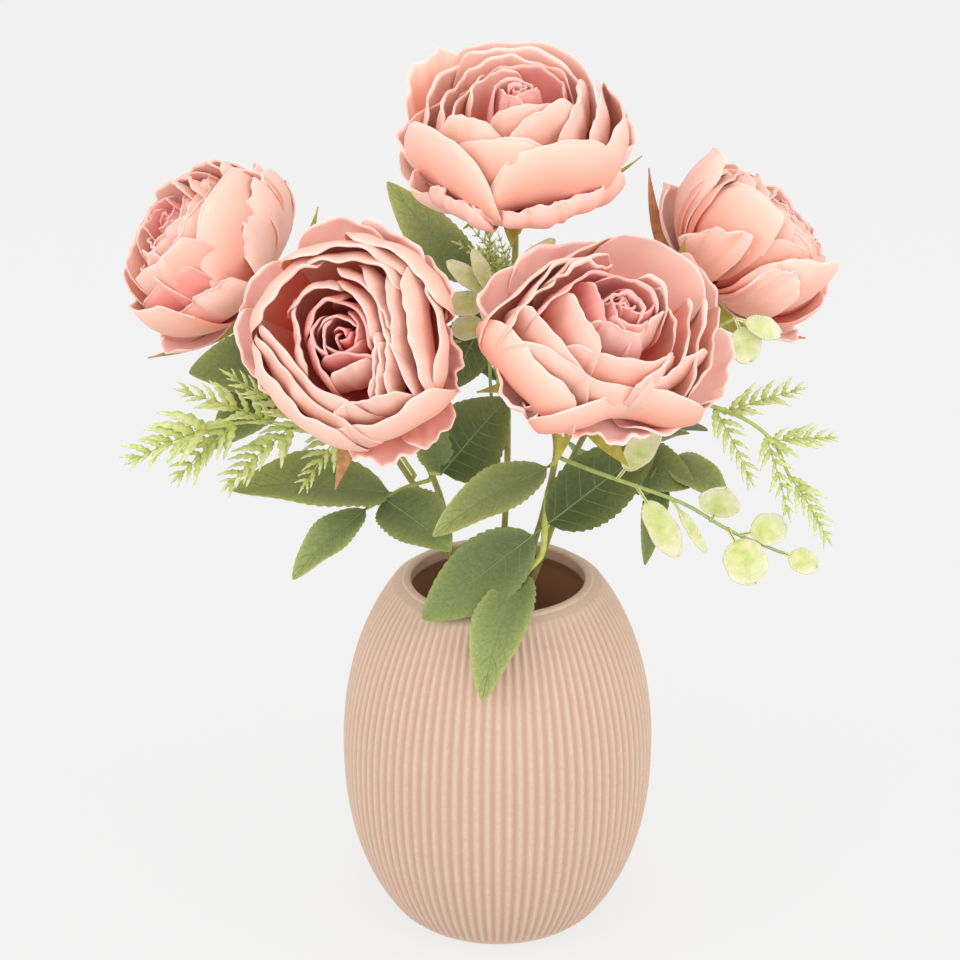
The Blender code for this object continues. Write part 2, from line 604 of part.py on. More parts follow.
def stalk_path(stem, points):
    """A twig's path: it starts just clear of its stem's skin, square to it, and runs through
    the given points."""
    first = Vector(points[0])
    best = min(range(len(stem) - 1), key=lambda i: ((stem[i] + stem[i + 1]) / 2 - first).length)
    bar = stem[best + 1] - stem[best]
    share = max(0.0, min(1.0, (first - stem[best]).dot(bar) / bar.length_squared))
    foot = stem[best] + bar * share
    out = first - foot
    out -= bar * out.dot(bar) / bar.length_squared
    out.normalize()
    start = foot + out * (STEM_RADIUS + GAP)
    knee = foot + out * (STEM_RADIUS + GAP + 2.5 * TWIG_RADIUS)
    rest = [Vector(point) for point in points[1:]]
    way = rest[-1] - (rest[-2] if len(rest) > 1 else knee)
    return [start] + smooth_path([knee, *rest], rest[0] - knee, way, TWIG_STEPS)


def make_sprig(name, sprig, stem, coat):
    """A twig that stands off its stem, with its blades rooted at the twig's middle."""
    outline, across, along, arch = BLADE_FORMS[sprig["kind"]]
    path = stalk_path(stem, sprig["twig"])
    pieces = [tube("twig", path, TWIG_RADIUS, 0)]
    for share, tip, width in sprig["blades"]:
        root = along_path(path, share)
        pieces.append(blade(root, tip, width, sprig["face"], outline, across, along, arch))
    return fuse(name, pieces, coat, bush)


def make_tag(stem, coat):
    """A blank card that lies against the back of a stem inside the vase's mouth."""
    after = next(i for i, point in enumerate(stem) if point.z > TAG_AT)
    rise = (stem[after] - stem[after - 1]).normalized()
    middle = stem[after - 1].lerp(stem[after], 0.5)
    across = rise.cross(Vector((0.0, -1.0, 0.0))).normalized()
    back = rise.cross(across).normalized()
    if back.y < 0.0:
        back.negate()
    centre = middle + back * (STEM_RADIUS + GAP + TAG_THICKNESS / 2.0) + across * TAG_ASIDE
    mesh = bpy.data.meshes.new("tag")
    bm = bmesh.new()
    bmesh.ops.create_cube(bm, size=1.0)
    for vert in bm.verts:
        vert.co = (centre + across * vert.co.x * TAG_WIDTH + back * vert.co.y * TAG_THICKNESS
                   + rise * vert.co.z * TAG_HEIGHT)
    bmesh.ops.recalc_face_normals(bm, faces=bm.faces)
    bm.to_mesh(mesh)
    bm.free()
    mesh.materials.append(coat)
    return place("stem_tag", mesh, bush)


for old in list(bpy.data.objects):
    bpy.data.objects.remove(old)
bush = new_collection("rose_bush")
workshop = new_collection("workshop")
cutters = new_collection("cutters")

ceramic = finish("blush_ceramic", (0.72, 0.51, 0.38), 0.75)
stem_green = finish("stem_green", (0.32, 0.33, 0.10), 0.60)
calyx_green = finish("calyx_green", (0.36, 0.40, 0.12), 0.65)
petal_pink = finish("petal_pink", (0.84, 0.54, 0.43), 0.70)
leaf_green = finish("leaf_green", (0.17, 0.24, 0.10), 0.65)
fern_green = finish("fern_green", (0.55, 0.66, 0.25), 0.50)
filler_green = finish("filler_green", (0.58, 0.68, 0.33), 0.50)
card_white = finish("card_white", (0.85, 0.85, 0.84), 0.80)
foliage_coats = {"rose": leaf_green, "fern": fern_green, "round": filler_green}

make_vase(ceramic)
make_trunk(stem_green)
stems = {}
for name, bloom in BLOOMS.items():
    stems[name] = make_stem(name, bloom, stem_green)
for name, bloom in BLOOMS.items():
    make_bloom(name, bloom, petal_pink)
    make_calyx(name, bloom, calyx_green)
for name, sprig in SPRIGS.items():
    make_sprig(name, sprig, stems[sprig["stem"]], foliage_coats[sprig["kind"]])
make_tag(stems["right"], card_white)
bpy.data.collections.remove(workshop)
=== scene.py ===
"""The finished looks of an artificial rose bush in a ribbed vase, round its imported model.

Metres, +Z up, and the side that faces -Y is the front; the tables of places are in
millimetres and degrees. The five blooms are rings of cloth petals, the rose leaves are
serrated cloth blades with raised veins, and the fern and round-leaved sprigs are moulded.
Each shape is worked out with numpy as whole arrays.
"""

import math

import bpy
import numpy as np
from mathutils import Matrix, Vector


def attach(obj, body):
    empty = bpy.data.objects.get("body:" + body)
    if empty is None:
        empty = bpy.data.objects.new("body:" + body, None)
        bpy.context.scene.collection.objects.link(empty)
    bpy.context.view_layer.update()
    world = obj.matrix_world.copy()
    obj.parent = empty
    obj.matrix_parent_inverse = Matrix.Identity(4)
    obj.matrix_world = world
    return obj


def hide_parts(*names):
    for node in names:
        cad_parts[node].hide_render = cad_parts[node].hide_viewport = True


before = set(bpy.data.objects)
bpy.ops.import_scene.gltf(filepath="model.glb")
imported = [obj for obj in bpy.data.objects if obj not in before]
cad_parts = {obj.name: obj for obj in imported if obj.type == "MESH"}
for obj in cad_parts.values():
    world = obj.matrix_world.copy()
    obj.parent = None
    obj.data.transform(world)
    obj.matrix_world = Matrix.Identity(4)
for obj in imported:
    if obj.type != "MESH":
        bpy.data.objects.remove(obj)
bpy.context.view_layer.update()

MM = 0.001

# The model's own sizes
VASE_HEIGHT = 0.1646
VASE_RADIUS = 0.0703
WIDEST_AT = 0.0822
REACH_BELOW = 0.1037
REACH_ABOVE = 0.1052
POWER_BELOW = 2.27
POWER_ABOVE = 2.09
FOOT_EDGE = 0.0020
VASE_WALL = 0.0052
VASE_FLOOR = 0.0070
MOUTH_RADIUS = 0.0390
LIP_ROUND = 0.0015
LIP_BAND = 0.0065
RIB_COUNT = 90
RIB_DEPTH = 0.0011
RIB_LAST = 0.1540
INSIDE_SHOULDER = 0.0060
TRUNK_FOOT_RADIUS = 0.0054
TRUNK_RADIUS = 0.0047
TRUNK_WAIST = 0.92
TRUNK_TOP = 0.1000
TRUNK_FLARE = 0.0080
TRUNK_CHAMFER = 0.0008
STEM_RADIUS = 0.0014
STEM_SPREAD = 0.0028
STEM_STRAIGHT = 0.0040
TWIG_RADIUS = 0.0008
CALYX_LENGTH = 0.0140
HIP_PROFILE = [(0.0051, 0.0), (0.0060, -0.0035), (0.0048, -0.0085), (0.0024, -CALYX_LENGTH)]
SEPAL_COUNT = 5
SEPAL_ROOT = (0.0030, -0.0035)
SEPAL_LENGTH = 0.0330
SEPAL_WIDTH = 0.0090
LONG_SEPAL_SAG = 0.08
LEAF_FOLD = 0.30
TAG_WIDTH = 0.0080
TAG_HEIGHT = 0.0300
TAG_ASIDE = 0.0038
TAG_THICKNESS = 0.0004
TAG_AT = 0.1330
GAP = 0.0003
BLOOM_MIDDLE = 0.0300

# Sizes that only the looks have. The vase: the ribs' depth as a share of the model's, how sharp
# their crests are and how many columns each has, half the lip's width, how far the slope to the
# lip reaches down, and the width of the inside floor's edge
RIB_CUT = 0.95
RIB_CREST = 1.15
RIB_COLUMNS = 8
LIP_HALF = 1.3 * LIP_ROUND
LIP_DROP = 2.4 * LIP_ROUND
FLOOR_EDGE = 0.0030
# Stems: how far apart their swellings are, the swellings' share of the radius and their width,
# the steps of a rough and of a fine stem, and its sides. The trunk: columns, and flutes' depth
# and number
KNOT_EVERY = 0.0310
KNOT_RISE = 0.10
KNOT_WIDTH = 0.0012
STEM_STEPS = 8
STEM_FINE_STEPS = 90
STEM_SIDES = 12
TRUNK_COLUMNS = 60
FLUTE_DEPTH = 0.00016
FLUTES = 10.0
# The thickness of each kind of petal and leaf, and of relief that only shades
PETAL_WALL = 0.0008
LEAF_WALL = 0.00045
FERN_WALL = 0.0004
ROUND_WALL = 0.0006
SEPAL_WALL = 0.0005
FINE_RELIEF = 0.0001

# Each bloom's middle, facing, size, depth for its size and turn, the compass angle at which its
# stem leaves the trunk and the way the stem rises. Then how far the heart sits aside, as an angle
# and a distance, which rings follow the rule, the middle and half width of the side that they
# leave clear, and each long sepal's tip, width and brown at its root and tip. Some blooms also
# have rings that swell, short sepals or a heart that leans to mauve
BLOOMS = {
    "left": dict(
        middle=(-124.5, 20, 309.2), facing=(-0.76, -0.06, 0.65), size=0.92, depth=1.12,
        turn=0.3, root_angle=162,
        way=[(-25, 12, 177), (-45, 16, 214)],
        heart=(0.0, 0.0), ruled=range(8), clear=(10, 92), swell=1.10,
        sepals=[((-153.8, 10, 264.8), 6, 0.0, 0.8), ((-78.3, 20, 331.1), 5.5, 0.0, 0.1)]),
    "front_left": dict(
        middle=(-61.5, -75, 304.3), facing=(-0.20, -0.84, 0.51), size=1.00, depth=1.10,
        turn=0.9, root_angle=234,
        way=[(-20, 2, 172), (-25, -1, 201), (-35, -8, 231)],
        heart=(-35.0, 4.4), ruled=(6, 7), clear=(0, 180),
        sepals=[((-69.5, -60, 231.7), 12, 0.8, 0.9)]),
    "top": dict(
        middle=(6.3, 0, 368.2), facing=(-0.02, -0.18, 0.98), size=1.04, depth=1.00,
        turn=1.6, root_angle=90,
        way=[(4, 4, 213), (4, 6, 275)],
        heart=(55.0, 3.8), ruled=(0, 1, 6, 7), clear=(-60, 125), sepal_share=0.6, mauve=0.28,
        sepals=[((60.9, 0, 360.5), 4, 0.0, 0.2)]),
    "front_right": dict(
        middle=(44.8, -70, 301), facing=(0.38, -0.55, 0.74), size=1.05, depth=0.98,
        turn=2.2, root_angle=306,
        way=[(14, -3, 172), (20, -10, 200), (25, -22, 232)],
        heart=(73.0, 8.2), ruled=(6, 7), clear=(0, 180), mauve=0.15,
        sepals=[((54.1, -70, 246.9), 12, 0.0, 0.15)]),
    "right": dict(
        middle=(108.8, 20, 311.5), facing=(0.75, 0.09, 0.65), size=0.94, depth=1.10,
        turn=2.9, root_angle=18,
        way=[(22, 3, 180), (29, 4, 195), (32.5, 6, 218)],
        heart=(0.0, 0.0), ruled=range(8), clear=(148, 84),
        sepals=[((65.5, 30, 345.6), 6.5, 0.9, 1.1), ((136.6, 29, 267), 10, 0.1, 0.8),
                ((78.6, -28, 333.8), 7, 0.2, 0.3)]),
}

# Petals placed one by one on a bloom of size 1: the left end, the middle and the right end of
# the rim, each as an azimuth in degrees, a radius and a height in mm; then how far the belly
# stands out past the rim in mm, the shade (see SHADES) and how wavy the rim is in mm
PETALS = {
    "front_left": [
        (-91, 41, 16, -73, 49, 16, -52, 50, 17, -6, 5, 1.6),
        (-55, 48, 17, -42, 53, 18, -27, 49, 18, -6, 5, 1.3),
        (-23, 47, 18, -8, 45, 18, 19, 38, 18, -6, 0, 1.5),
        (21, 39, 18, 34, 44, 18, 59, 47, 18, -5, 0, 1.2),
        (55, 46, 20, 75, 49, 20, 94, 52, 20, -5, 0, 1),
        (81, 47, 22, 99, 52, 22, 125, 50, 24, -4, 0, 1),
        (139, 52, 20, 159, 52, 20, 173, 50, 20, -5, 0, 1.2),
        (-194, 51, 20, -179, 50, 20, -157, 43, 20, -5, 0, 1.3),
        (-162, 45, 20, -143, 40, 20, -119, 35, 20, -4, 0, 1.2),
        (-94, 39, 37, -54, 40, 41, -23, 43, 40, 8, 1, 0.7),
        (-23, 44, 38, 7, 40, 39, 38, 39, 39, 2, 1, 0.8),
        (-27, 41, 43, 9, 29, 44, 51, 34, 44, 10, 1, 0.6),
        (-33, 38, 45, 1, 23, 46, 57, 28, 46, 9, 2, 0.6),
        (24, 41, 38, 56, 40, 40, 94, 39, 40, 8, 1, 0.8),
        (45, 36, 42, 91, 36, 43, 133, 37, 42, 9, 1, 0.8),
        (40, 31, 44, 81, 31, 45, 124, 30, 44, 9, 1, 0.8),
        (112, 30, 43, 145, 33, 43, 178, 32, 42, 13, 1, 0.6),
        (-170, 37, 39, -127, 34, 40, -82, 39, 39, 9, 1, 0.9),
        (-174, 34, 42, -126, 27, 42, -74, 37, 41, 10, 1, 0.8),
        (-182, 32, 44, -131, 22, 45, -66, 30, 45, 10, 1, 0.8),
        (-89, 33, 43, -66, 30, 45, -35, 35, 45, 8, 1, 0.7),
        (90, 17, 48, 119, 20, 48, 158, 20, 47, 8, 2, 0.5),
        (-210, 23, 46, -167, 16, 47, -122, 19, 46, 8, 2, 0.6),
        (-24, 31, 46, 16, 19, 47, 76, 25, 47, 8, 2, 0.6),
        (5, 22, 47, 53, 21, 48, 97, 23, 48, 8, 2, 0.5),
        (-44, 34, 46, -31, 26, 47, -2, 20, 47, 8, 2, 0.5),
        (-52, 32, 47, -36, 24, 48, -7, 17, 48, 8, 2, 0.5),
        (88, 14, 49, 130, 13, 50, 186, 10, 49, 8, 3, 0.4),
        (-178, 11, 49, -127, 13, 49, -90, 19, 48, 7, 3, 0.4),
        (-57, 31, 48, -34, 21, 49, 4, 14, 49, 7, 2, 0.4),
        (-13, 16, 49, 35, 14, 50, 96, 18, 49, 7, 2, 0.4),
        (-91, 19, 49, -61, 16, 50, -31, 17, 49, 7, 2, 0.4),
        (-120, 12, 50, -63, 9, 51, -27, 16, 50, 6, 3, 0.3),
        (-223, 11, 50, -172, 10, 51, -105, 9, 50, 3, 3, 0.3),
        (-22, 16, 50, 25, 12, 51, 104, 11, 50, 4, 4, 0.3),
    ],
    "front_right": [
        (62, 53, 24, 88, 50, 24, 113, 48, 24, -5, 0, 1.0),
        (108, 48, 22, 132, 53, 22, 146, 44, 22, -5, 0, 1.0),
        (-202, 42, 20, -179, 47, 20, -161, 44, 20, -5, 0, 1.3),
        (-165, 43, 20, -151, 40, 20, -138, 39, 20, -4, 0, 1.5),
        (-145, 38, 17, -115, 35, 18, -77, 36, 18, -5, 0, 2.2),
        (-84, 34, 18, -51, 45, 18, -30, 52, 18, -5, 0, 1.2),
        (-38, 50, 21, -21, 57, 25, -2, 55, 28, -5, 0, 1.2),
        (-5, 52, 30, 11, 57, 35, 31, 56, 38, -4, 0, 1.0),
        (-149, 43, 33, -101, 23, 36, -55, 40, 35, 9, 1, 0.8),
        (-205, 49, 36, -178, 40, 38, -141, 34, 34, 8, 1, 0.8),
        (-190, 45, 41, -159, 29, 42, -93, 24, 38, 6, 1, 0.9),
        (151, 41, 44, 176, 31, 45, 218, 27, 41, 6, 2, 0.6),
        (61, 47, 39, 112, 37, 40, 155, 50, 38, 3, 1, 0.9),
        (83, 35, 42, 133, 37, 42, 165, 45, 40, 3, 1, 0.9),
        (68, 37, 44, 117, 32, 44, 156, 41, 43, 3, 1, 0.8),
        (4, 45, 43, 29, 49, 44, 65, 43, 44, -3, 5, 0.8),
        (-55, 39, 36, -21, 43, 37, 3, 52, 38, 0, 1, 0.9),
        (-56, 36, 39, -18, 36, 40, 11, 46, 41, 2, 1, 0.9),
        (-96, 26, 40, -54, 26, 41, -23, 37, 41, 6, 1, 0.8),
        (-104, 26, 43, -78, 22, 44, -40, 21, 44, 5, 2, 0.6),
        (-46, 27, 43, -10, 31, 44, 9, 34, 44, 3, 2, 0.8),
        (-27, 23, 47, 5, 22, 48, 29, 24, 48, 5, 2, 0.8),
        (-178, 29, 44, -136, 17, 46, -44, 20, 45, 8, 2, 0.7),
        (72, 26, 47, 96, 28, 48, 126, 31, 47, 4, 2, 1.0),
        (70, 23, 48, 119, 25, 49, 159, 34, 47, 4, 3, 0.8),
        (133, 26, 49, 169, 18, 50, 210, 18, 49, 9, 2, 0.5),
        (113, 21, 50, 125, 12, 51, 188, 10, 50, 7, 3, 0.4),
        (-182, 15, 50, -147, 9, 50, -85, 10, 50, 7, 7, 0.4),
        (-105, 13, 48, -51, 9, 49, -6, 17, 49, 7, 2, 0.4),
        (-10, 18, 49, 25, 24, 50, 47, 22, 50, 4, 2, 0.5),
        (1, 16, 50, 46, 18, 51, 97, 18, 50, 4, 3, 0.5),
        (-197, 9, 51, -135, 1, 51, -4, 13, 51, 5, 3, 0.3),
    ],
    "top": [
        (-152, 44, 26, -137, 49, 23, -133, 40, 20, -4, 0, 0.8),
        # The next three skirts take shade 6, tanner and darker than a skirt: painted shade on undersides
        # that lie in shadow
        (-133, 44, 25, -120, 43, 22, -100, 42, 17, 0, 6, 1.4),
        (-112, 42, 20, -85, 42, 18, -59, 43, 23, 1, 6, 2.2),
        (-66, 43, 22, -40, 45, 22, -21, 47, 27, 0, 6, 1.6),
        (-19, 45, 26, 16, 49, 28, 41, 52, 28, -4, 0, 1.2),
        (160, 45, 30, 174, 47, 28, 200, 39, 26, -4, 0, 1.0),
        (123, 51, 47, 142, 53, 46, 160, 48, 34, -5, 1, 0.9),
        (-168, 43, 40, -125, 40, 46, -95, 41, 25, 4, 1, 0.5),
        (-131, 34, 38, -95, 33, 46, -60, 34, 42, 6, 1, 0.4),
        (-99, 40, 26, -74, 37, 43, -29, 44, 42, 5, 1, 0.4),
        (-30, 45, 38, 4, 44, 42, 38, 41, 44, 4, 1, 0.7),
        (117, 49, 44, 150, 38, 44, 193, 35, 40, 3, 1, 0.8),
        (32, 38, 46, 84, 46, 50, 125, 48, 48, -1, 1, 0.9),
        (27, 30, 48, 88, 37, 51, 129, 39, 49, 2, 1, 0.8),
        (30, 26, 49, 90, 28, 52, 138, 29, 49, 3, 2, 0.7),
        (119, 35, 47, 155, 28, 46, 208, 29, 43, 4, 2, 0.6),
        (122, 25, 49, 166, 20, 48, 226, 29, 44, 4, 2, 0.6),
        (-50, 30, 43, 2, 26, 48, 36, 31, 49, 6, 1, 0.5),
        (-28, 37, 41, 6, 35, 45, 38, 39, 46, 6, 1, 0.5),
        (-89, 27, 44, -58, 21, 50, -8, 22, 51, 7, 1, 0.4),
        (-152, 32, 43, -126, 27, 50, -91, 26, 43, 7, 1, 0.5),
        (-118, 18, 45, -80, 16, 52, -16, 17, 49, 7, 2, 0.4),
        (11, 21, 50, 67, 23, 51, 125, 20, 50, 4, 3, 0.5),
        (88, 22, 51, 141, 17, 51, 202, 16, 50, 4, 2, 0.5),
    ],
    "left": [
        (23, 38, 17, 55, 38, 33, 103, 47, 33, 0, 5, 2.6),
        (68, 42, 27, 100, 45, 35, 134, 43, 27, -3, 5, 2.2),
        (78, 36, 42, 100, 37, 50, 122, 36, 42, 3, 1, 1.0),
        (-6, 38, 24, 19, 34, 45, 103, 39, 41, 4, 1, 0.9),
        (-74, 41, 38, -32, 33, 40, -2, 33, 37, 4, 3, 0.6),
        (-74, 40, 25, -18, 40, 27, 13, 40, 19, 1, 6, 1.8),
    ],
    "right": [
        (60, 42, 30, 86, 45, 45, 106, 38, 36, 1, 5, 0.8),
        (123, 41, 13, 139, 43, 27, 157, 42, 35, -3, 6, 3.0),
        (99, 35, 37, 125, 34, 46, 161, 33, 49, 5, 1, 0.6),
        (-188, 39, 28, -173, 39, 42, -146, 38, 55, 3, 1, 0.9),
        (-185, 43, 23, -176, 43, 36, -156, 42, 34, -1, 6, 1.6),
    ],
}
# Rings of petals that follow a rule: how many, rim radius and height in mm, half of the arc in
# degrees, belly in mm, shade and wave in mm
RINGS = [
    (6, 45, 20, 36, -5, 0, 1.6), (5, 41, 40, 48, 3, 1, 0.9), (6, 38, 44, 46, 4, 1, 0.9),
    (7, 33, 47, 45, 5, 2, 0.8), (6, 26, 50, 50, 6, 2, 0.6), (5, 18, 52, 56, 6, 2, 0.5),
    (4, 8.5, 51, 72, 4, 3, 0.3), (3, 3, 50, 88, 3, 4, 0.1),
]
# From ring to ring the first petal turns by so many degrees, and each strays by up to so many.
# Ranges that vary a petal's radius, height and arc, and how much nearer its rim's middle is
RING_TURN = 37.0
RING_STRAY = 9.0
RING_REACH = (0.95, 1.04)
RING_RISE = (0.96, 1.03)
RING_ARC = (0.85, 1.15)
RING_CHORD = (0.048, 0.336)
# For each shade, how far the colour goes to the heart's red and how far to pale mauve. In order:
# skirt, outer petal, inner petal, heart, bud, pale side, front skirt and the heart's front
SHADES = np.array([(0.00, 0.92), (0.00, 0.08), (0.10, 0.03), (0.80, 0.12),
                   (1.00, 0.00), (0.00, 0.52), (0.03, 0.34), (0.40, 0.36)])
# A petal's grid, and its shape: where its root starts, how far its sides run past the ends of
# the rim, how far its corners round off and from where, how narrow its root is, and how uneven
# its two halves may be
PETAL_ROWS = 24
PETAL_COLUMNS = 33
LIP_ROWS = 5
PETAL_ROOT = 0.0020
PETAL_PAST = 1.16
PETAL_CORNER = 0.34
PETAL_ROUND_FROM = 0.72
PETAL_NARROW = 0.62
PETAL_SKEW = 0.38
# The root's height: least, and how much higher it is on petals nearer to the heart than a radius
PETAL_FOOT = 0.0030
PETAL_FOOT_RISE = 0.0160
PETAL_FOOT_REACH = 0.0450
# The belly's two points as shares of the rise, and how much further out the upper one is
BELLY_LOW = 0.10
BELLY_HIGH = 0.66
BELLY_OUT = 1.04
# A rim's range of waves and of their height, how many more it has past so many mm of wave, and
# how deep its nicks are: at least, and for each mm of wave
WAVE_PACE = (1.3, 2.6)
WAVE_SHARE = (0.7, 1.3)
WAVE_MORE = 0.9
WAVE_LIVELY = 1.3
NICK_LEAST = 0.005
NICK_PER_WAVE = 0.012
# How far one side lies over the next petal, how deep the long folds and the creases are, the
# rolled lip's range of width and of angle, where the mark reach stands before the lip, how far
# single petals stray in tint, and within which radius petals move aside with the heart
PETAL_OVERLAP = 0.0013
FOLD_DEPTH = 0.00055
CREASE_DEPTH = 0.00026
LIP_WIDTH = (0.0005, 0.0011)
LIP_CURL = (1.2, 2.5)
RIM_MARK = 0.96
TINT_STRAY = (-0.10, 0.14)
HEART_RADIUS = 0.0160

# Sprigs: their stem, the side they face, the twig's points and each blade's root as a share of
# the twig, with its tip and width
SPRIGS = {
    "leaf_front": dict(
        kind="rose", stem="front_right", face=(0.0, -0.90, 0.50),
        twig=[(22, -16, 212), (20.5, -25, 200), (19, -29, 188), (13, -31, 181)],
        blades=[(1.00, (-7, -71, 139), 26), (0.45, (-33, -68, 174), 32), (0.45, (69, -18, 237), 30)]),
    "leaf_front_upper": dict(
        kind="rose", stem="front_right", face=(0.0, -0.60, 0.80),
        twig=[(25, -26, 231), (22, -30, 230)],
        blades=[(1.00, (-28, -60, 212), 25)]),
    "leaf_left": dict(
        kind="rose", stem="front_left", face=(-0.1, -0.50, 0.85),
        twig=[(-31, -8, 213), (-42, -22, 216), (-57, -32, 211)],
        blades=[(0.70, (-112, -54, 231.5), 31), (0.80, (-21, -60, 205), 28),
                (1.00, (-89, -56, 189.5), 17)]),
    "leaf_middle_low": dict(
        kind="rose", stem="front_left", face=(0.1, -0.75, 0.65),
        twig=[(-29, -8, 217), (-25, -12, 219)],
        blades=[(1.00, (3, -17, 256), 34), (0.90, (-29, -13, 256), 20)]),
    "leaf_behind_left": dict(
        kind="rose", stem="left", face=(-0.2, -0.60, 0.75),
        twig=[(-72, 12, 260), (-86, 0, 260)],
        blades=[(1.00, (-132, -22, 272), 32), (0.85, (-124, -30, 240), 28)]),
    "leaf_upper_left": dict(
        kind="rose", stem="top", face=(-0.3, -0.80, 0.45),
        twig=[(0, 2, 293), (-9, -6, 306)],
        blades=[(1.00, (-46.5, -20, 354), 21)]),
    "leaf_middle": dict(
        kind="rose", stem="top", face=(-0.3, -0.80, 0.50),
        twig=[(-1, 7, 288), (-4, 6, 288)],
        blades=[(1.00, (-21, 4, 253), 24)]),
    "leaf_right": dict(
        kind="rose", stem="right", face=(0.1, -0.60, 0.80),
        twig=[(38, 2, 220), (54, -8, 220), (74, -10, 224)],
        blades=[(0.55, (85, -22, 219), 27), (1.00, (100.5, -20, 213), 18), (0.95, (64, -37, 187), 11)]),
    "leaf_back_left": dict(
        kind="rose", stem="left", face=(-0.2, 0.60, 0.80),
        twig=[(-36, 20, 206), (-47, 33, 213), (-60, 43, 216)],
        blades=[(1.00, (-102, 70, 222), 29), (0.60, (-83, 33, 240), 26), (0.60, (-40, 76, 200), 26)]),
    "leaf_back_middle": dict(
        kind="rose", stem="top", face=(0.0, 0.70, 0.70),
        twig=[(3, 11, 238), (0, 24, 248), (-2, 36, 254)],
        blades=[(1.00, (-8, 78, 264), 28), (0.60, (-42, 43, 266), 27), (0.60, (37, 50, 250), 27)]),
    "leaf_back_right": dict(
        kind="rose", stem="right", face=(0.2, 0.60, 0.80),
        twig=[(33, 11, 206), (43, 27, 210), (56, 39, 211)],
        blades=[(1.00, (96, 64, 211), 29), (0.60, (85, 21, 227), 26), (0.60, (40, 72, 193), 26)]),
    "fern_left": dict(
        kind="fern", stem="front_left", face=(-0.1, -0.55, 0.85),
        twig=[(-52, -28, 256), (-72, -42, 251), (-100, -50, 259), (-123, -58, 259)],
        blades=[(0.68, (-136, -50, 273), 18), (0.50, (-117, -44, 279), 18),
                (1.00, (-156, -66, 246), 22), (0.85, (-137, -66, 238), 20),
                (0.60, (-116, -66, 234), 20), (0.35, (-84, -58, 230), 18)]),
    "fern_right": dict(
        kind="fern", stem="right", face=(0.1, -0.60, 0.80),
        twig=[(58, 0, 260), (82, -24, 259), (101, -34, 256), (117, -36, 245), (125, -38, 229)],
        blades=[(0.55, (131, -30, 266), 15), (0.48, (109, -44, 227), 15),
                (0.76, (125, -46, 212), 13), (0.80, (145, -32, 244), 14), (1.00, (143, -44, 200), 15)]),
    "fern_top": dict(
        kind="fern", stem="top", face=(-0.1, -0.80, 0.60),
        twig=[(4, 0, 305), (-1, -6, 310), (-4, -9, 314)],
        blades=[(0.60, (-13, -21, 327), 10), (1.00, (-4, -15, 332), 11)]),
    "fern_back": dict(
        kind="fern", stem="top", face=(0.0, 0.70, 0.70),
        twig=[(6, 12, 265), (14, 34, 278), (18, 56, 286)],
        blades=[(1.00, (20, 86, 288), 15), (0.55, (43, 52, 290), 15),
                (0.60, (-8, 64, 296), 15), (0.80, (40, 72, 282), 14)]),
    "filler_right": dict(
        kind="round", stem="front_right", face=(0.1, -0.85, 0.50),
        twig=[(30, -25, 230), (42, -34, 229), (59, -40, 225),
              (80, -46, 219), (100, -50, 208), (122, -50, 198)],
        blades=[(0.42, (68, -44, 254), 12), (0.50, (77, -54, 198), 13),
                (0.62, (89, -54, 200), 5), (0.76, (96.5, -56, 231), 18),
                (0.82, (110, -62, 189), 19), (0.86, (124, -44, 208), 14), (1.00, (137, -54, 193), 11)]),
    "filler_top": dict(
        kind="round", stem="top", face=(0.0, -0.85, 0.50),
        twig=[(0, 2, 225), (-3, 0, 250), (-4, -12, 285), (-3, -15, 302)],
        blades=[(1.00, (-21.9, -30, 323.5), 8.5), (0.95, (-23, -30, 304), 11),
                (0.80, (-20, -23, 289), 11), (1.00, (23.5, -26, 332), 8.5),
                (0.95, (13, -20, 322), 7), (1.00, (-11, -30, 329), 7)]),
    "filler_under_right": dict(
        kind="round", stem="right", face=(0.2, -0.80, 0.55),
        twig=[(62, 4, 268), (70, -16, 276), (86, -29, 290), (100, -30, 298)],
        blades=[(1.00, (107, -32, 279), 15), (1.00, (120, -28, 290), 10)]),
    "filler_back": dict(
        kind="round", stem="left", face=(-0.1, 0.80, 0.55),
        twig=[(-56, 23, 235), (-64, 42, 256), (-70, 60, 270)],
        blades=[(1.00, (-76, 82, 278), 17), (0.60, (-88, 56, 274), 17),
                (0.62, (-48, 62, 276), 17), (0.85, (-82, 72, 256), 15), (0.35, (-42, 46, 260), 14)]),
}

# Small fronds that the model leaves out
FERN_MORE = {
    "fern_top": [(0.30, (-14.8, -20, 339.5), 8), (0.60, (-5.5, -14, 339.3), 8),
                 (0.20, (-0.4, -18, 332.6), 7), (0.10, (-19.8, -24, 330), 8),
                 (0.05, (5.5, -22, 327.7), 6), (0.00, (-15, -24, 316), 7)],
}

# Single blades that sit a little differently: tip, width, stalk's share of the run, arch, face
LEAF_FORMS = {
    ("leaf_front", 0): ((-7.8, -73, 139.8), 25, 0.05, 0.12, (-0.40, -0.88, 0.30)),
    ("leaf_front", 1): ((-32.7, -48, 165.7), 30, 0.12, 0.0, (0.0, -0.92, 0.38)),
    ("leaf_front_upper", 0): ((-28, -60, 212), 21.5, 0.05, 0.07, (0.0, -0.60, 0.80)),
}

# Round-leaved sprigs made paler than the rest, as painted light where the blooms shade them, and twigs that
# are thicker or thinner
ROUND_PAINTED_LIGHT = {"filler_top": 0.05, "filler_under_right": 0.10}
TWIG_THICK = {"leaf_front": 1.6, "filler_top": 0.8}

# Each rose leaf's cloth: 0 dark, 1 middle, 2 light
LEAF_TONES = {
    "leaf_front": (2, 1, 0), "leaf_front_upper": (2,), "leaf_left": (2, 1, 2),
    "leaf_middle_low": (0, 2), "leaf_behind_left": (1, 1), "leaf_upper_left": (2,),
    "leaf_middle": (0,), "leaf_right": (1, 2, 1), "leaf_back_left": (0, 1, 1),
    "leaf_back_middle": (1, 0, 1), "leaf_back_right": (0, 1, 2),
}
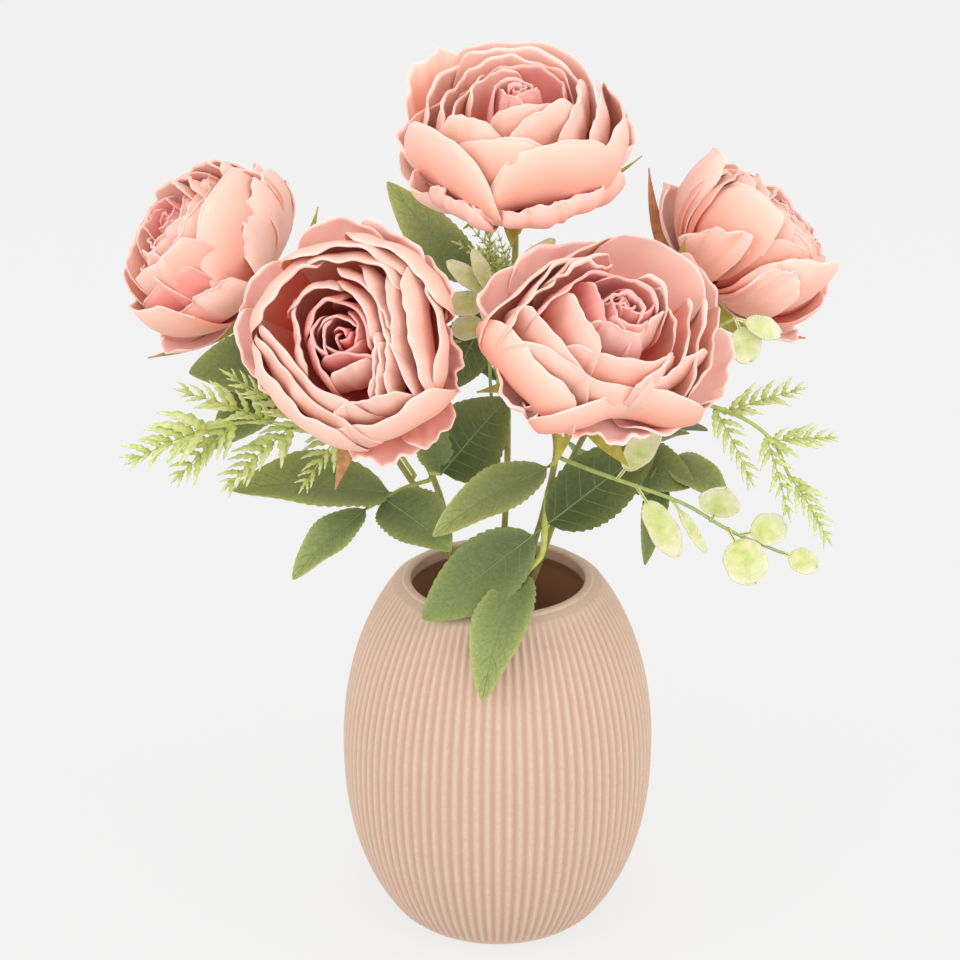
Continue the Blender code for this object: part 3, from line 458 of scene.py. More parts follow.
# The leaves' middle and edge colours, light and dark, in the order of the tones
LEAF_CLOTHS = {
    "dark": (((80, 92, 50), (64, 76, 38)), ((130, 140, 76), (104, 116, 56))),
    "middle": (((104, 120, 76), (84, 102, 58)), ((156, 166, 100), (132, 144, 74))),
    "light": (((124, 138, 90), (104, 121, 72)), ((182, 188, 116), (156, 166, 88))),
}
# Each kind of twig's colour, light and dark, and its slot
TWIGS = {
    "rose": ((200, 206, 112), (172, 182, 80), "leaf_green"),
    "fern": ((190, 204, 120), (160, 180, 92), "fern_green"),
    "round": ((178, 192, 120), (150, 168, 92), "filler_green"),
}
# Twigs: how many knots each has, their share of the radius and their width, and the radius at
# the root and how much of it is lost to the tip, both for the model's radius
TWIG_KNOTS = 5.0
TWIG_KNOT_RISE = 0.14
TWIG_KNOT_WIDTH = 0.07
TWIG_ROOT = 1.30
TWIG_TAPER = 0.35
# A rose leaf's grid and shape: its stalk's share of the run, its arch, its least half width, how
# far its teeth, waves and the pillows between its veins stand out, and how its tip droops and
# twists. Then how the side veins slant, how far veins lie above the leaf, and their radii
LEAF_TEETH = 17
LEAF_ROWS = 3 * LEAF_TEETH + 1
LEAF_COLUMNS = 13
LEAF_PAIRS = 7
LEAF_STALK = 0.05
LEAF_BOW = 0.07
LEAF_LEAST = 0.0004
LEAF_TOOTH = 0.075
LEAF_WAVE = 0.0011
LEAF_PILLOW = 0.00030
LEAF_DROOP = 0.25
LEAF_TWIST = 0.10
VEIN_SLANT = 0.16
VEIN_LIFT = 0.00022
VEIN_RADIUS = 0.00022
MIDRIB_RADIUS = 0.00055
# Fern fronds: the rib's radius and arch. Their fingers: how far apart they are, how they bend,
# their rows, arch and least half width, the part of the rib that bears them, their reach for
# the blade's width, how it shrinks to the tip and varies, their width for their reach, how far
# they go out, the ranges in which they lean ahead and up, and where the last one starts
FERN_RIB = 0.00042
FERN_ARCH = 0.05
FINGER_EVERY = 0.0052
FINGER_BEND = 0.22
FINGER_ROWS = 13
FINGER_ARCH = 0.08
FINGER_LEAST = 0.00014
FINGER_SPAN = (0.06, 0.86)
FINGER_REACH = 0.90
FINGER_TAPER = 0.66
FINGER_VARY = (0.70, 1.20)
FINGER_WIDTH = 0.30
FINGER_OUT = 0.80
FINGER_LEAN = (0.45, 0.90)
FINGER_LIFT = (-0.10, 0.40)
FINGER_LAST = 0.84
# Round leaves: the stalk's share of the run and its half width, the cup and the arch, and on
# each leaf the flecks' number, range of size, height and the part of the run that bears them
ROUND_STALK = 0.25
ROUND_LEAST = 0.0005
ROUND_CUP = 0.10
ROUND_ARCH = 0.06
FLECKS = 70
FLECK_SIZE = (0.00014, 0.00040)
FLECK_LIFT = 0.00038
FLECK_SPAN = (0.30, 0.97)
# A sepal's grid, arch and fold, its least half width, the ranges that vary its length and droop,
# a hip's columns and rows, and how far the card bows
SEPAL_ROWS = 25
SEPAL_COLUMNS = 7
SEPAL_ARCH = 0.05
SEPAL_FOLD = 0.30
SEPAL_LEAST = 0.0003
SEPAL_VARY = (0.85, 1.15)
SEPAL_FALL = (0.05, 0.32)
HIP_SIDES = 30
HIP_ROWS = 25
TAG_BOW = 0.0006
# The room: the camera's angle, aim, distance and lens in mm, half the floor's side, its colour
# and glow, the sky's strength, and each lamp's place, size and watts
CAMERA_DOWN = math.radians(22.93)
CAMERA_AIM = (-0.0080, 0.0, 0.2109)
CAMERA_AWAY = 1.5
CAMERA_LENS = 127.1
FLOOR_SIDE = 6.0
FLOOR_GREY = 0.14
FLOOR_GLOW = 0.735
SKY_LIGHT = 0.98
LAMPS = {
    "lamp_left": ((-1.5, -1.0, 1.3), 1.2, 9.8),
    "lamp_right": ((1.5, -0.9, 1.1), 1.2, 8.4),
    "lamp_front": ((0.0, -1.7, 0.95), 1.5, 7.1),
}
LAMP_AIM = (0.0, 0.0, 0.22)


# colours and coats

def paint(colour):
    """A colour of 0 to 255 values as linear light: below 0.04045 a 12.92th, else the power 2.4 of
    the shifted value."""
    shares = np.array(colour) / 255.0
    linear = np.where(shares <= 0.04045, shares / 12.92, ((shares + 0.055) / 1.055) ** 2.4)
    return (*(float(x) for x in linear), 1.0)


def fill(node, values):
    """Sets a node's inputs, and hands the node back."""
    for name, value in values.items():
        node.inputs[name].default_value = value
    return node


def grain_group():
    """Fine mottling worked out from the place on the piece: a soft noise, sharpened."""
    group = bpy.data.node_groups.new("fine_grain", "ShaderNodeTree")
    for name, kind in (("Place", "Vector"), ("Grains per metre", "Float"), ("Sharpness", "Float")):
        group.interface.new_socket(name, in_out="INPUT", socket_type="NodeSocket" + kind)
    group.interface.new_socket("Mask", in_out="OUTPUT", socket_type="NodeSocketFloat")
    nodes, links = group.nodes, group.links
    source = nodes.new("NodeGroupInput")
    sink = nodes.new("NodeGroupOutput")
    noise = fill(nodes.new("ShaderNodeTexNoise"), {"Detail": 3.0})
    spread = nodes.new("ShaderNodeMath")
    spread.operation = "SUBTRACT"
    fill(spread, {1: 0.5})
    gain = nodes.new("ShaderNodeMath")
    gain.operation, gain.use_clamp = "MULTIPLY_ADD", True
    fill(gain, {2: 0.5})
    for start, end in ((source.outputs["Place"], noise.inputs["Vector"]),
                       (source.outputs["Grains per metre"], noise.inputs["Scale"]),
                       (noise.outputs["Fac"], spread.inputs[0]), (spread.outputs[0], gain.inputs[0]),
                       (source.outputs["Sharpness"], gain.inputs[1]),
                       (gain.outputs[0], sink.inputs["Mask"])):
        links.new(start, end)
    return group


GRAIN = grain_group()


def new_coat(name, roughness, specular=0.3, sheen=0.0):
    """A material with its one shader, and its nodes and links to add to."""
    coat = bpy.data.materials.new(name)
    coat.use_nodes = True
    nodes, links = coat.node_tree.nodes, coat.node_tree.links
    values = {"Roughness": roughness, "Specular IOR Level": specular, "Sheen Weight": sheen}
    return coat, nodes, links, fill(nodes["Principled BSDF"], values)


def add_grain(nodes, links, per_metre, sharpness):
    """The grain group, reading the piece's own coordinates."""
    place = nodes.new("ShaderNodeTexCoord")
    grain = nodes.new("ShaderNodeGroup")
    grain.node_tree = GRAIN
    fill(grain, {"Grains per metre": per_metre, "Sharpness": sharpness})
    links.new(place.outputs["Object"], grain.inputs["Place"])
    return grain.outputs["Mask"]


def blend_colours(nodes, links, share, first, second):
    """Mixes two colours, or two sockets of colour, by a share that changes over the surface."""
    mix = nodes.new("ShaderNodeMix")
    mix.data_type = "RGBA"
    links.new(share, mix.inputs["Factor"])
    for socket, value in ((mix.inputs[6], first), (mix.inputs[7], second)):
        if isinstance(value, tuple):
            socket.default_value = paint(value)
        else:
            links.new(value, socket)
    return mix.outputs[2]


def finish_coat(nodes, links, shader, colour, grain, depth=FINE_RELIEF):
    """Gives the shader its colour, and the grain as fine relief that only shades."""
    links.new(colour, shader.inputs["Base Color"])
    bump = fill(nodes.new("ShaderNodeBump"), {"Distance": depth, "Strength": 0.5})
    links.new(grain, bump.inputs["Height"])
    links.new(bump.outputs["Normal"], shader.inputs["Normal"])


def mottled_coat(name, light, dark, roughness, per_metre, depth=FINE_RELIEF):
    """Two near colours dealt out by the grain, with the grain as fine relief."""
    coat, nodes, links, shader = new_coat(name, roughness)
    grain = add_grain(nodes, links, per_metre, 2.0)
    finish_coat(nodes, links, shader, blend_colours(nodes, links, grain, dark, light), grain, depth)
    return coat


def run_coat(name, mark, inner, outer, roughness, per_metre):
    """Two mottled pairs of colours: the mark runs from the first pair to the second."""
    coat, nodes, links, shader = new_coat(name, roughness)
    grain = add_grain(nodes, links, per_metre, 2.2)
    pairs = [blend_colours(nodes, links, grain, dark, light) for light, dark in (inner, outer)]
    colour = blend_colours(nodes, links, read_mark(nodes, mark), *pairs)
    finish_coat(nodes, links, shader, colour, grain)
    return coat


def read_mark(nodes, name):
    """A number that the mesh carries at each point."""
    mark = nodes.new("ShaderNodeAttribute")
    mark.attribute_name = name
    return mark.outputs["Fac"]


def colour_run(nodes, links, share, stops):
    """Colours in a row along a share from 0 to 1."""
    ramp = nodes.new("ShaderNodeValToRGB")
    line = ramp.color_ramp
    for element, (place, colour) in zip(line.elements, (stops[0], stops[-1])):
        element.position, element.color = place, paint(colour)
    for place, colour in stops[1:-1]:
        line.elements.new(place).color = paint(colour)
    links.new(share, ramp.inputs["Fac"])
    return ramp.outputs["Color"]


def petal_coat():
    """Printed cloth. Outwards it is pale peach with a paler rim, running to coral at the root. Inwards it
    runs from deep red at the root over coral to the pale rim. The darker coral and red towards the root are
    partly the cloth's print and partly painted shade where the petals overlap and crowd. The heart is mauve
    red, and some petals lean to mauve."""
    coat, nodes, links, shader = new_coat("petal_cloth", 0.70, 0.20, 0.10)
    reach = read_mark(nodes, "reach")
    # Partly print, partly painted shade: the root ends of these runs are darker where the petals crowd
    outward = colour_run(nodes, links, reach, [
        (0.0, (240, 110, 82)), (0.40, (244, 150, 124)), (0.68, (242, 172, 149)),
        (0.90, (246, 196, 177)), (1.0, (252, 216, 203))])
    inward = colour_run(nodes, links, reach, [
        (0.0, (206, 44, 42)), (0.30, (250, 112, 86)), (0.54, (255, 168, 142)),
        (0.78, (254, 200, 180)), (1.0, (254, 214, 200))])
    cloth = blend_colours(nodes, links, read_mark(nodes, "inward"), outward, inward)
    heart = colour_run(nodes, links, reach, [
        (0.0, (186, 24, 36)), (0.50, (226, 66, 62)), (0.88, (236, 114, 106)),
        (1.0, (242, 168, 160))])
    tinted = blend_colours(nodes, links, read_mark(nodes, "heart"), cloth, heart)
    cool = blend_colours(nodes, links, read_mark(nodes, "tint"), tinted, (253, 217, 207))
    fill(shader, {"Subsurface Weight": 0.15, "Subsurface Radius": (1.0, 0.45, 0.35),
                  "Subsurface Scale": 0.003})
    finish_coat(nodes, links, shader, cool, add_grain(nodes, links, 900.0, 1.6), 0.00012)
    return coat


def sepal_coat():
    """Olive cloth that runs to tan and brown where the mark says so."""
    coat, nodes, links, shader = new_coat("sepal_cloth", 0.65, 0.25)
    grain = add_grain(nodes, links, 300.0, 2.0)
    green = blend_colours(nodes, links, grain, (160, 158, 58), (192, 190, 90))
    tan = blend_colours(nodes, links, grain, (168, 104, 74), (204, 150, 108))
    cloth = blend_colours(nodes, links, read_mark(nodes, "brown"), green, tan)
    finish_coat(nodes, links, shader, cloth, grain)
    return coat


def ceramic_coat():
    """Matt blush glaze with painted shade: darker in the ribs' grooves, darker still in the band and the
    cavity, and browner in the cavity, so the crests look a little paler.
    """
    coat, nodes, links, shader = new_coat("blush_glaze", 0.55, 0.35)
    grain = add_grain(nodes, links, 420.0, 2.4)
    body = blend_colours(nodes, links, grain, (208, 180, 158), (215, 189, 169))
    # Painted shade: the first mark darkens the grooves, the band and the cavity, and the second makes the
    # cavity darker and browner
    shaded_ribs = blend_colours(nodes, links, read_mark(nodes, "groove_and_shade"), body, (196, 157, 135))
    glaze = blend_colours(nodes, links, read_mark(nodes, "inside_shade"), shaded_ribs, (206, 154, 122))
    finish_coat(nodes, links, shader, glaze, grain, 0.00008)
    return coat


# meshes

def new_object(name, data):
    """An object that shows this data, linked into the scene."""
    piece = bpy.data.objects.new(name, data)
    bpy.context.scene.collection.objects.link(piece)
    return piece


def make_piece(name, points, faces, coat, slot, nodes, marks=None, bake_map=None, sharp=None):
    """A closed mesh from an array of points and one of faces, whose triangles end in -1."""
    mesh = bpy.data.meshes.new(name)
    used = faces >= 0
    loops = faces[used]
    counts = used.sum(axis=1)
    mesh.vertices.add(len(points))
    mesh.vertices.foreach_set("co", points.astype(np.float32).ravel())
    mesh.loops.add(len(loops))
    mesh.loops.foreach_set("vertex_index", loops.astype(np.int32))
    mesh.polygons.add(len(faces))
    mesh.polygons.foreach_set("loop_start", (np.cumsum(counts) - counts).astype(np.int32))
    mesh.update(calc_edges=True)
    mesh.shade_smooth()
    for mark, values in (marks or {}).items():
        layer = mesh.attributes.new(mark, "FLOAT", "POINT")
        layer.data.foreach_set("value", values.astype(np.float32).ravel())
    if bake_map is not None:
        layer = mesh.uv_layers.new(name="OFBake")
        layer.uv.foreach_set("vector", bake_map[used].astype(np.float32).ravel())
    if sharp:
        mesh.set_sharp_from_angle(angle=sharp)
    mesh.materials.append(coat)
    piece = new_object(name, mesh)
    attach(piece, "root")
    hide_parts(*nodes)


def unit(vectors):
    """The same directions with length one."""
    return vectors / np.maximum(np.linalg.norm(vectors, axis=-1, keepdims=True), 1e-12)


def grid_quads(rows, columns):
    """Quads of a grid of points, counter-clockwise where columns run right and rows run up."""
    corner = (np.arange(rows - 1)[:, None] * columns + np.arange(columns - 1)).ravel()
    return np.stack([corner, corner + 1, corner + columns + 1, corner + columns], axis=1)


def rim_loop(rows, columns):
    """The points round a grid's edge, counter-clockwise."""
    index = np.arange(rows * columns).reshape(rows, columns)
    return np.concatenate([index[0, :-1], index[:-1, -1], index[-1, :0:-1], index[:0:-1, 0]])


def shells(middle, thickness):
    """Closed thin shells round grids of points (sheet, row, column): the front lies half the
    thickness along the normal, the back half against it, and a strip joins them at the rim.
    Returns points, faces and a map that gives each sheet a square of its own."""
    sheets, rows, columns = middle.shape[:3]
    normal = unit(np.cross(np.gradient(middle, axis=2), np.gradient(middle, axis=1)))
    half = thickness / 2.0
    points = np.concatenate([(middle + normal * half).reshape(sheets, -1, 3),
                             (middle - normal * half).reshape(sheets, -1, 3)], axis=1)
    count = rows * columns
    quads = grid_quads(rows, columns)
    rim = rim_loop(rows, columns)
    after = np.roll(rim, -1)
    strip = np.stack([after, rim, rim + count, after + count], axis=1)
    faces = np.concatenate([quads, quads[:, ::-1] + count, strip])

    up, across = np.meshgrid(np.linspace(0.05, 0.95, rows), np.linspace(0.04, 0.46, columns), indexing="ij")
    front = np.stack([across, up], axis=-1).reshape(-1, 2)
    centre = np.array([0.25, 0.5])
    pushed = centre + (front - centre) * 1.07
    back = front + np.array([0.5, 0.0])
    chart = np.concatenate([front[quads], back[quads[:, ::-1]],
                            np.stack([front[after], front[rim], pushed[rim], pushed[after]], axis=1)])
    side = math.ceil(math.sqrt(sheets))
    order = np.arange(sheets)
    cell = np.stack([order % side, order // side], axis=1)
    charts = (chart[None] + cell[:, None, None, :]) / side
    all_faces = faces[None] + (order * 2 * count)[:, None, None]
    return points.reshape(-1, 3), all_faces.reshape(-1, 4), charts.reshape(-1, 4, 2)


def both_sides(marks):
    """One number for each point of a grid, for the shell's front and back."""
    flat = marks.reshape(len(marks), -1)
    return np.concatenate([flat, flat], axis=1)


def skin_faces(rows, columns):
    """The walls and the two end caps of a round body whose rings lie in rows, with a point for
    each end after the last ring. Seen from outside, rows run up and columns run right."""
    here = np.arange(columns)
    there, none = (here + 1) % columns, np.full(columns, -1)
    step = np.arange(rows - 1)[:, None] * columns
    walls = np.stack([step + here, step + there, step + columns + there, step + columns + here], axis=-1)
    low, last = np.full(columns, rows * columns), (rows - 1) * columns
    caps = [np.stack([there, here, low, none], axis=1),
            np.stack([last + here, last + there, low + 1, none], axis=1)]
    return walls.reshape(-1, 4), np.concatenate(caps)


def tubes(paths, radii, sides):
    """Closed round bars along paths (bar, step): each ring is the path's point plus the radius
    times cosine and sine of the angle along two directions square to the path. The ends close
    in one point each. The rings' columns run left, so the faces are turned over."""
    bars, steps = paths.shape[:2]
    way = unit(np.gradient(paths, axis=1))
    lean = np.abs(way.mean(axis=1))
    reference = np.eye(3)[np.argmin(lean, axis=1)][:, None, :]
    side = unit(np.cross(way, reference))
    up = np.cross(side, way)
    angle = np.arange(sides) * 2.0 * np.pi / sides
    ring = (side[:, :, None] * np.cos(angle)[:, None] + up[:, :, None] * np.sin(angle)[:, None])
    skin = paths[:, :, None] + ring * np.broadcast_to(radii, (bars, steps))[:, :, None, None]
    points = np.concatenate([skin.reshape(bars, -1, 3), paths[:, :1], paths[:, -1:]], axis=1)
    walls, caps = skin_faces(steps, sides)
    faces = np.concatenate([walls[:, [0, 3, 2, 1]], caps[:, [1, 0, 2, 3]]])
    shift = (np.arange(bars) * (steps * sides + 2))[:, None, None]
    return points.reshape(-1, 3), np.where(faces[None] < 0, -1, faces[None] + shift).reshape(-1, 4)


def join(parts):
    """Several sets of points and faces as one."""
    points, faces, start = [], [], 0
    for some_points, some_faces in parts:
        points.append(some_points)
        faces.append(np.where(some_faces < 0, -1, some_faces + start))
        start += len(some_points)
    return np.concatenate(points), np.concatenate(faces)


def turned(radius, height, columns):
    """A closed turned body: rows of radius by row and column, spun round Z, and a point on the
    axis at each end. Rows run so that the body lies on the left of the profile's way up."""
    angle = np.arange(columns) * 2.0 * np.pi / columns
    rows = len(height)
    skin = np.stack([radius * np.cos(angle), radius * np.sin(angle),
                     np.broadcast_to(height[:, None], radius.shape)], axis=-1)
    ends = np.array([[0.0, 0.0, height[0]], [0.0, 0.0, height[-1]]])
    points = np.concatenate([skin.reshape(-1, 3), ends])
    along = np.linspace(0.03, 0.97, rows)
    left, right = np.arange(columns) / columns, (np.arange(columns) + 1) / columns
    low, high = along[:-1, None], along[1:, None]
    centre, none = (left + right) / 2.0, np.zeros(columns)

    def patches(*corners):
        pairs = [np.stack(np.broadcast_arrays(x, y), axis=-1).reshape(-1, 2) for x, y in corners]
        return np.stack(pairs, axis=1)
    chart = np.concatenate([patches((left, low), (right, low), (right, high), (left, high)),
                            patches((right, 0.03), (left, 0.03), (centre, 0.005), (none, 0.0)),
                            patches((left, 0.97), (right, 0.97), (centre, 0.995), (none, 0.0))])
    return points, np.concatenate(skin_faces(rows, columns)), chart


# vase

def wall_radius(height):
    """The vase's outer radius: the widest radius times the root of one less a power of the
    height's distance from the widest place."""
    below = (np.maximum(WIDEST_AT - height, 0.0) / REACH_BELOW) ** POWER_BELOW
    above = (np.maximum(height - WIDEST_AT, 0.0) / REACH_ABOVE) ** POWER_ABOVE
    return VASE_RADIUS * np.sqrt(1.0 - below - above)


def vase_profile():
    """The vase's outline, as rows of radius and height: the foot's round edge, the wall, a slope
    up to a narrow round lip, a smooth band, the cavity and its floor. Also how many rows come
    before the lip, from the band on and from the cavity on."""
    foot_radius = wall_radius(0.0) - FOOT_EDGE
    foot = [(foot_radius * 0.5, 0.0)]
    foot += [(foot_radius + FOOT_EDGE * math.sin(a), FOOT_EDGE * (1.0 - math.cos(a)))
             for a in np.linspace(0.0, np.pi / 2.0, 6)]
    share = np.linspace(0.0, 1.0, 60)[1:]
    top = VASE_HEIGHT - LIP_DROP
    heights = FOOT_EDGE + (top - FOOT_EDGE) * (share / 2.0 + (1.0 - np.cos(np.pi * share)) / 4.0)
    wall = [(float(wall_radius(z)), float(z)) for z in heights]
    lip_low = VASE_HEIGHT - LIP_ROUND
    lip_outer = MOUTH_RADIUS + 2.0 * LIP_HALF
    reach = float(wall_radius(top)) - lip_outer
    slope = [(lip_outer + reach * (1.0 - a), top + (lip_low - top) * a**0.8)
             for a in np.linspace(0.2, 0.92, 6)]
    lip = [(MOUTH_RADIUS + LIP_HALF * (1.0 + math.cos(a)), lip_low + LIP_ROUND * math.sin(a) ** 0.7)
           for a in np.linspace(0.0, np.pi, 15)]
    inside_top = VASE_HEIGHT - LIP_BAND
    band = [(MOUTH_RADIUS, inside_top + 0.0006 + 0.0008 * a) for a in range(5, -1, -1)]
    band += [(MOUTH_RADIUS + 0.0004, inside_top)]
    cavity = [(float(wall_radius(z)) - VASE_WALL - RIB_DEPTH, float(z))
              for z in np.linspace(inside_top - INSIDE_SHOULDER, VASE_FLOOR + 0.004, 22)]
    floor_radius = float(wall_radius(VASE_FLOOR)) - VASE_WALL - RIB_DEPTH
    cavity += [(floor_radius - FLOOR_EDGE, VASE_FLOOR + 0.0008),
               (floor_radius - 2.0 * FLOOR_EDGE, VASE_FLOOR), (floor_radius * 0.5, VASE_FLOOR)]
    return (np.array(foot + wall + slope + lip + band + cavity), len(foot + wall + slope),
            len(band + cavity), len(cavity))


def make_vase():
    """A ribbed egg: the outer radius less the ribs' depth times a power of one half plus half
    the cosine of the ribs' angle. The grooves fade in above the foot and out below the lip."""
    columns = RIB_COLUMNS * RIB_COUNT
    angle = np.arange(columns) * 2.0 * np.pi / columns
    groove_and_shade = (0.5 + 0.5 * np.cos(RIB_COUNT * angle)) ** RIB_CREST
    profile, outside, banded, within = vase_profile()
    row, height = np.arange(len(profile)), profile[:, 1]
    top = VASE_HEIGHT - LIP_DROP
    rising = np.clip((height - 0.0012) / 0.004, 0.0, 1.0)
    fading = np.clip((top + 0.0012 - height) / (top - RIB_LAST), 0.0, 1.0)
    cut = (rising * np.sqrt(fading) * (row < outside))[:, None] * groove_and_shade
    points, faces, chart = turned(profile[:, :1] - RIB_CUT * RIB_DEPTH * cut, height, columns)
    # Painted shade: the first mark darkens the grooves, and the band and the cavity by at least 0.6; the
    # second makes the cavity darker and browner
    cut = np.maximum(cut, 0.6 * (row >= len(row) - banded)[:, None]).ravel()
    inside_shade = np.repeat((row >= len(row) - within).astype(float), columns)
    marks = {"groove_and_shade": np.append(cut, [0.0, 0.0]), "inside_shade": np.append(inside_shade, [0.0, 1.0])}
    make_piece("vase_ribbed", points, faces, ceramic_coat(), "blush_ceramic", ["vase"], marks, chart,
               math.radians(50.0))


# stems

def through(points, first_way, last_way, steps):
    """A smooth curve through points, by cubic pieces that share their slopes."""
    points = np.array(points, float)
    slopes = np.empty_like(points)
    slopes[1:-1] = (points[2:] - points[:-2]) / 2.0
    slopes[0] = unit(np.array(first_way, float)) * np.linalg.norm(points[1] - points[0])
    slopes[-1] = unit(np.array(last_way, float)) * np.linalg.norm(points[-1] - points[-2])
    spot = np.linspace(0.0, len(points) - 1, steps + 1)
    piece = np.minimum(spot.astype(int), len(points) - 2)
    t = (spot - piece)[:, None]
    return (points[piece] * (2 * t**3 - 3 * t**2 + 1) + slopes[piece] * (t**3 - 2 * t**2 + t)
            + points[piece + 1] * (3 * t**2 - 2 * t**3) + slopes[piece + 1] * (t**3 - t**2))


def bloom_base(bloom):
    """The centre of a bloom's underside."""
    return MM * np.array(bloom["middle"]) - unit(np.array(bloom["facing"])) * BLOOM_MIDDLE * bloom["size"]


def stem_path(bloom, steps):
    """A stem's way from the trunk's top to just below its calyx."""
    angle = math.radians(bloom["root_angle"])
    root = np.array([STEM_SPREAD * math.cos(angle), STEM_SPREAD * math.sin(angle), TRUNK_TOP + GAP])
    facing = unit(np.array(bloom["facing"]))
    tip = bloom_base(bloom) - facing * (CALYX_LENGTH + 2.0 * GAP)
    way = MM * np.array(bloom["way"])
    bends = [root + [0.0, 0.0, STEM_STRAIGHT], *way, tip - facing * STEM_STRAIGHT]
    return np.concatenate([root[None], through(bends, (0.0, 0.0, 1.0), facing, steps), tip[None]])


STEM_COARSE = {name: stem_path(bloom, STEM_STEPS) for name, bloom in BLOOMS.items()}


def sampled(corners, rows):
    """A line of corners as evenly many points on each stretch."""
    spots = np.linspace(0.0, len(corners) - 1.0, rows)
    return np.stack([np.interp(spots, np.arange(len(corners)), corners[:, i]) for i in (0, 1)], axis=1)


def make_stems(coat):
    """Wired stems with a faint swelling every few centimetres: the radius times one plus a
    narrow bell, repeated along the way. The trunk is a turned stub with moulded flutes."""
    for name, bloom in BLOOMS.items():
        path = stem_path(bloom, STEM_FINE_STEPS)
        run = np.append(0.0, np.cumsum(np.linalg.norm(np.diff(path, axis=0), axis=1)))
        past_knot = np.mod(run, KNOT_EVERY) - KNOT_EVERY / 2.0
        swell = 1.0 + KNOT_RISE * np.exp(-(past_knot / KNOT_WIDTH) ** 2)
        points, faces = tubes(path[None], STEM_RADIUS * swell, STEM_SIDES)
        make_piece("stem_wire_" + name, points, faces, coat, "stem_green", ["stem_" + name],
                   sharp=math.radians(60.0))
    foot, waist = VASE_FLOOR + GAP, TRUNK_RADIUS * TRUNK_WAIST
    profile = sampled(np.array([
        (0.001, foot), (TRUNK_FOOT_RADIUS - 0.0004, foot), (TRUNK_FOOT_RADIUS, foot + 0.0004),
        (TRUNK_RADIUS, foot + TRUNK_FLARE), (waist, 0.5 * TRUNK_TOP),
        (TRUNK_RADIUS, TRUNK_TOP - TRUNK_CHAMFER), (TRUNK_RADIUS - TRUNK_CHAMFER, TRUNK_TOP),
        (0.001, TRUNK_TOP)]), 71)
    angle = np.arange(TRUNK_COLUMNS) * 2.0 * np.pi / TRUNK_COLUMNS
    on_side = (profile[:, :1] > waist - 0.0002).astype(float)
    waves = np.sin(FLUTES * angle + 2.0 * np.sin(profile[:, 1:] * 90.0)) - 1.0
    radius = profile[:, :1] + FLUTE_DEPTH * on_side * waves
    points, faces, chart = turned(radius, profile[:, 1], TRUNK_COLUMNS)
    make_piece("trunk_moulded", points, faces, coat, "stem_green", ["trunk"], bake_map=chart,
               sharp=math.radians(60.0))


# blooms

def upright_to(facing, origin, points):
    """Points made along +Z, turned to a facing and moved to an origin."""
    turn = np.array(Vector(facing).to_track_quat("Z", "Y").to_matrix())
    return points @ turn.T + np.array(origin)


def ruled_rows(bloom, chance):
    """Petals that follow a rule: each ring's azimuths are evenly spread and a little out of true,
    and a petal's rim runs nearer to the middle than its ends. The outer rings leave the side
    clear where petals are placed one by one."""
    rows = []
    toward, width = bloom["clear"]
    swell = bloom.get("swell", 1.0)
    for ring in bloom["ruled"]:
        count, radius, height, half, belly, shade, wave = RINGS[ring]
        start = math.degrees(bloom["turn"]) + RING_TURN * ring
        for place in range(count):
            azimuth = start + 360.0 * place / count + chance.uniform(-RING_STRAY, RING_STRAY)
            away = abs((azimuth - toward + 180.0) % 360.0 - 180.0)
            grown = swell if away > width else 1.0
            out = radius * grown * chance.uniform(*RING_REACH)
            up = height * (grown if ring > 1 else 1.0) * chance.uniform(*RING_RISE)
            chord = 1.0 - chance.uniform(*RING_CHORD) * (belly > 0)
            spread = half * chance.uniform(*RING_ARC)
            if ring > 2 or away > width:
                rows.append((azimuth - spread, out, up - 1.0, azimuth, out * chord, up, azimuth + spread,
                             out, up - 1.0, belly, shade, wave))
    return rows


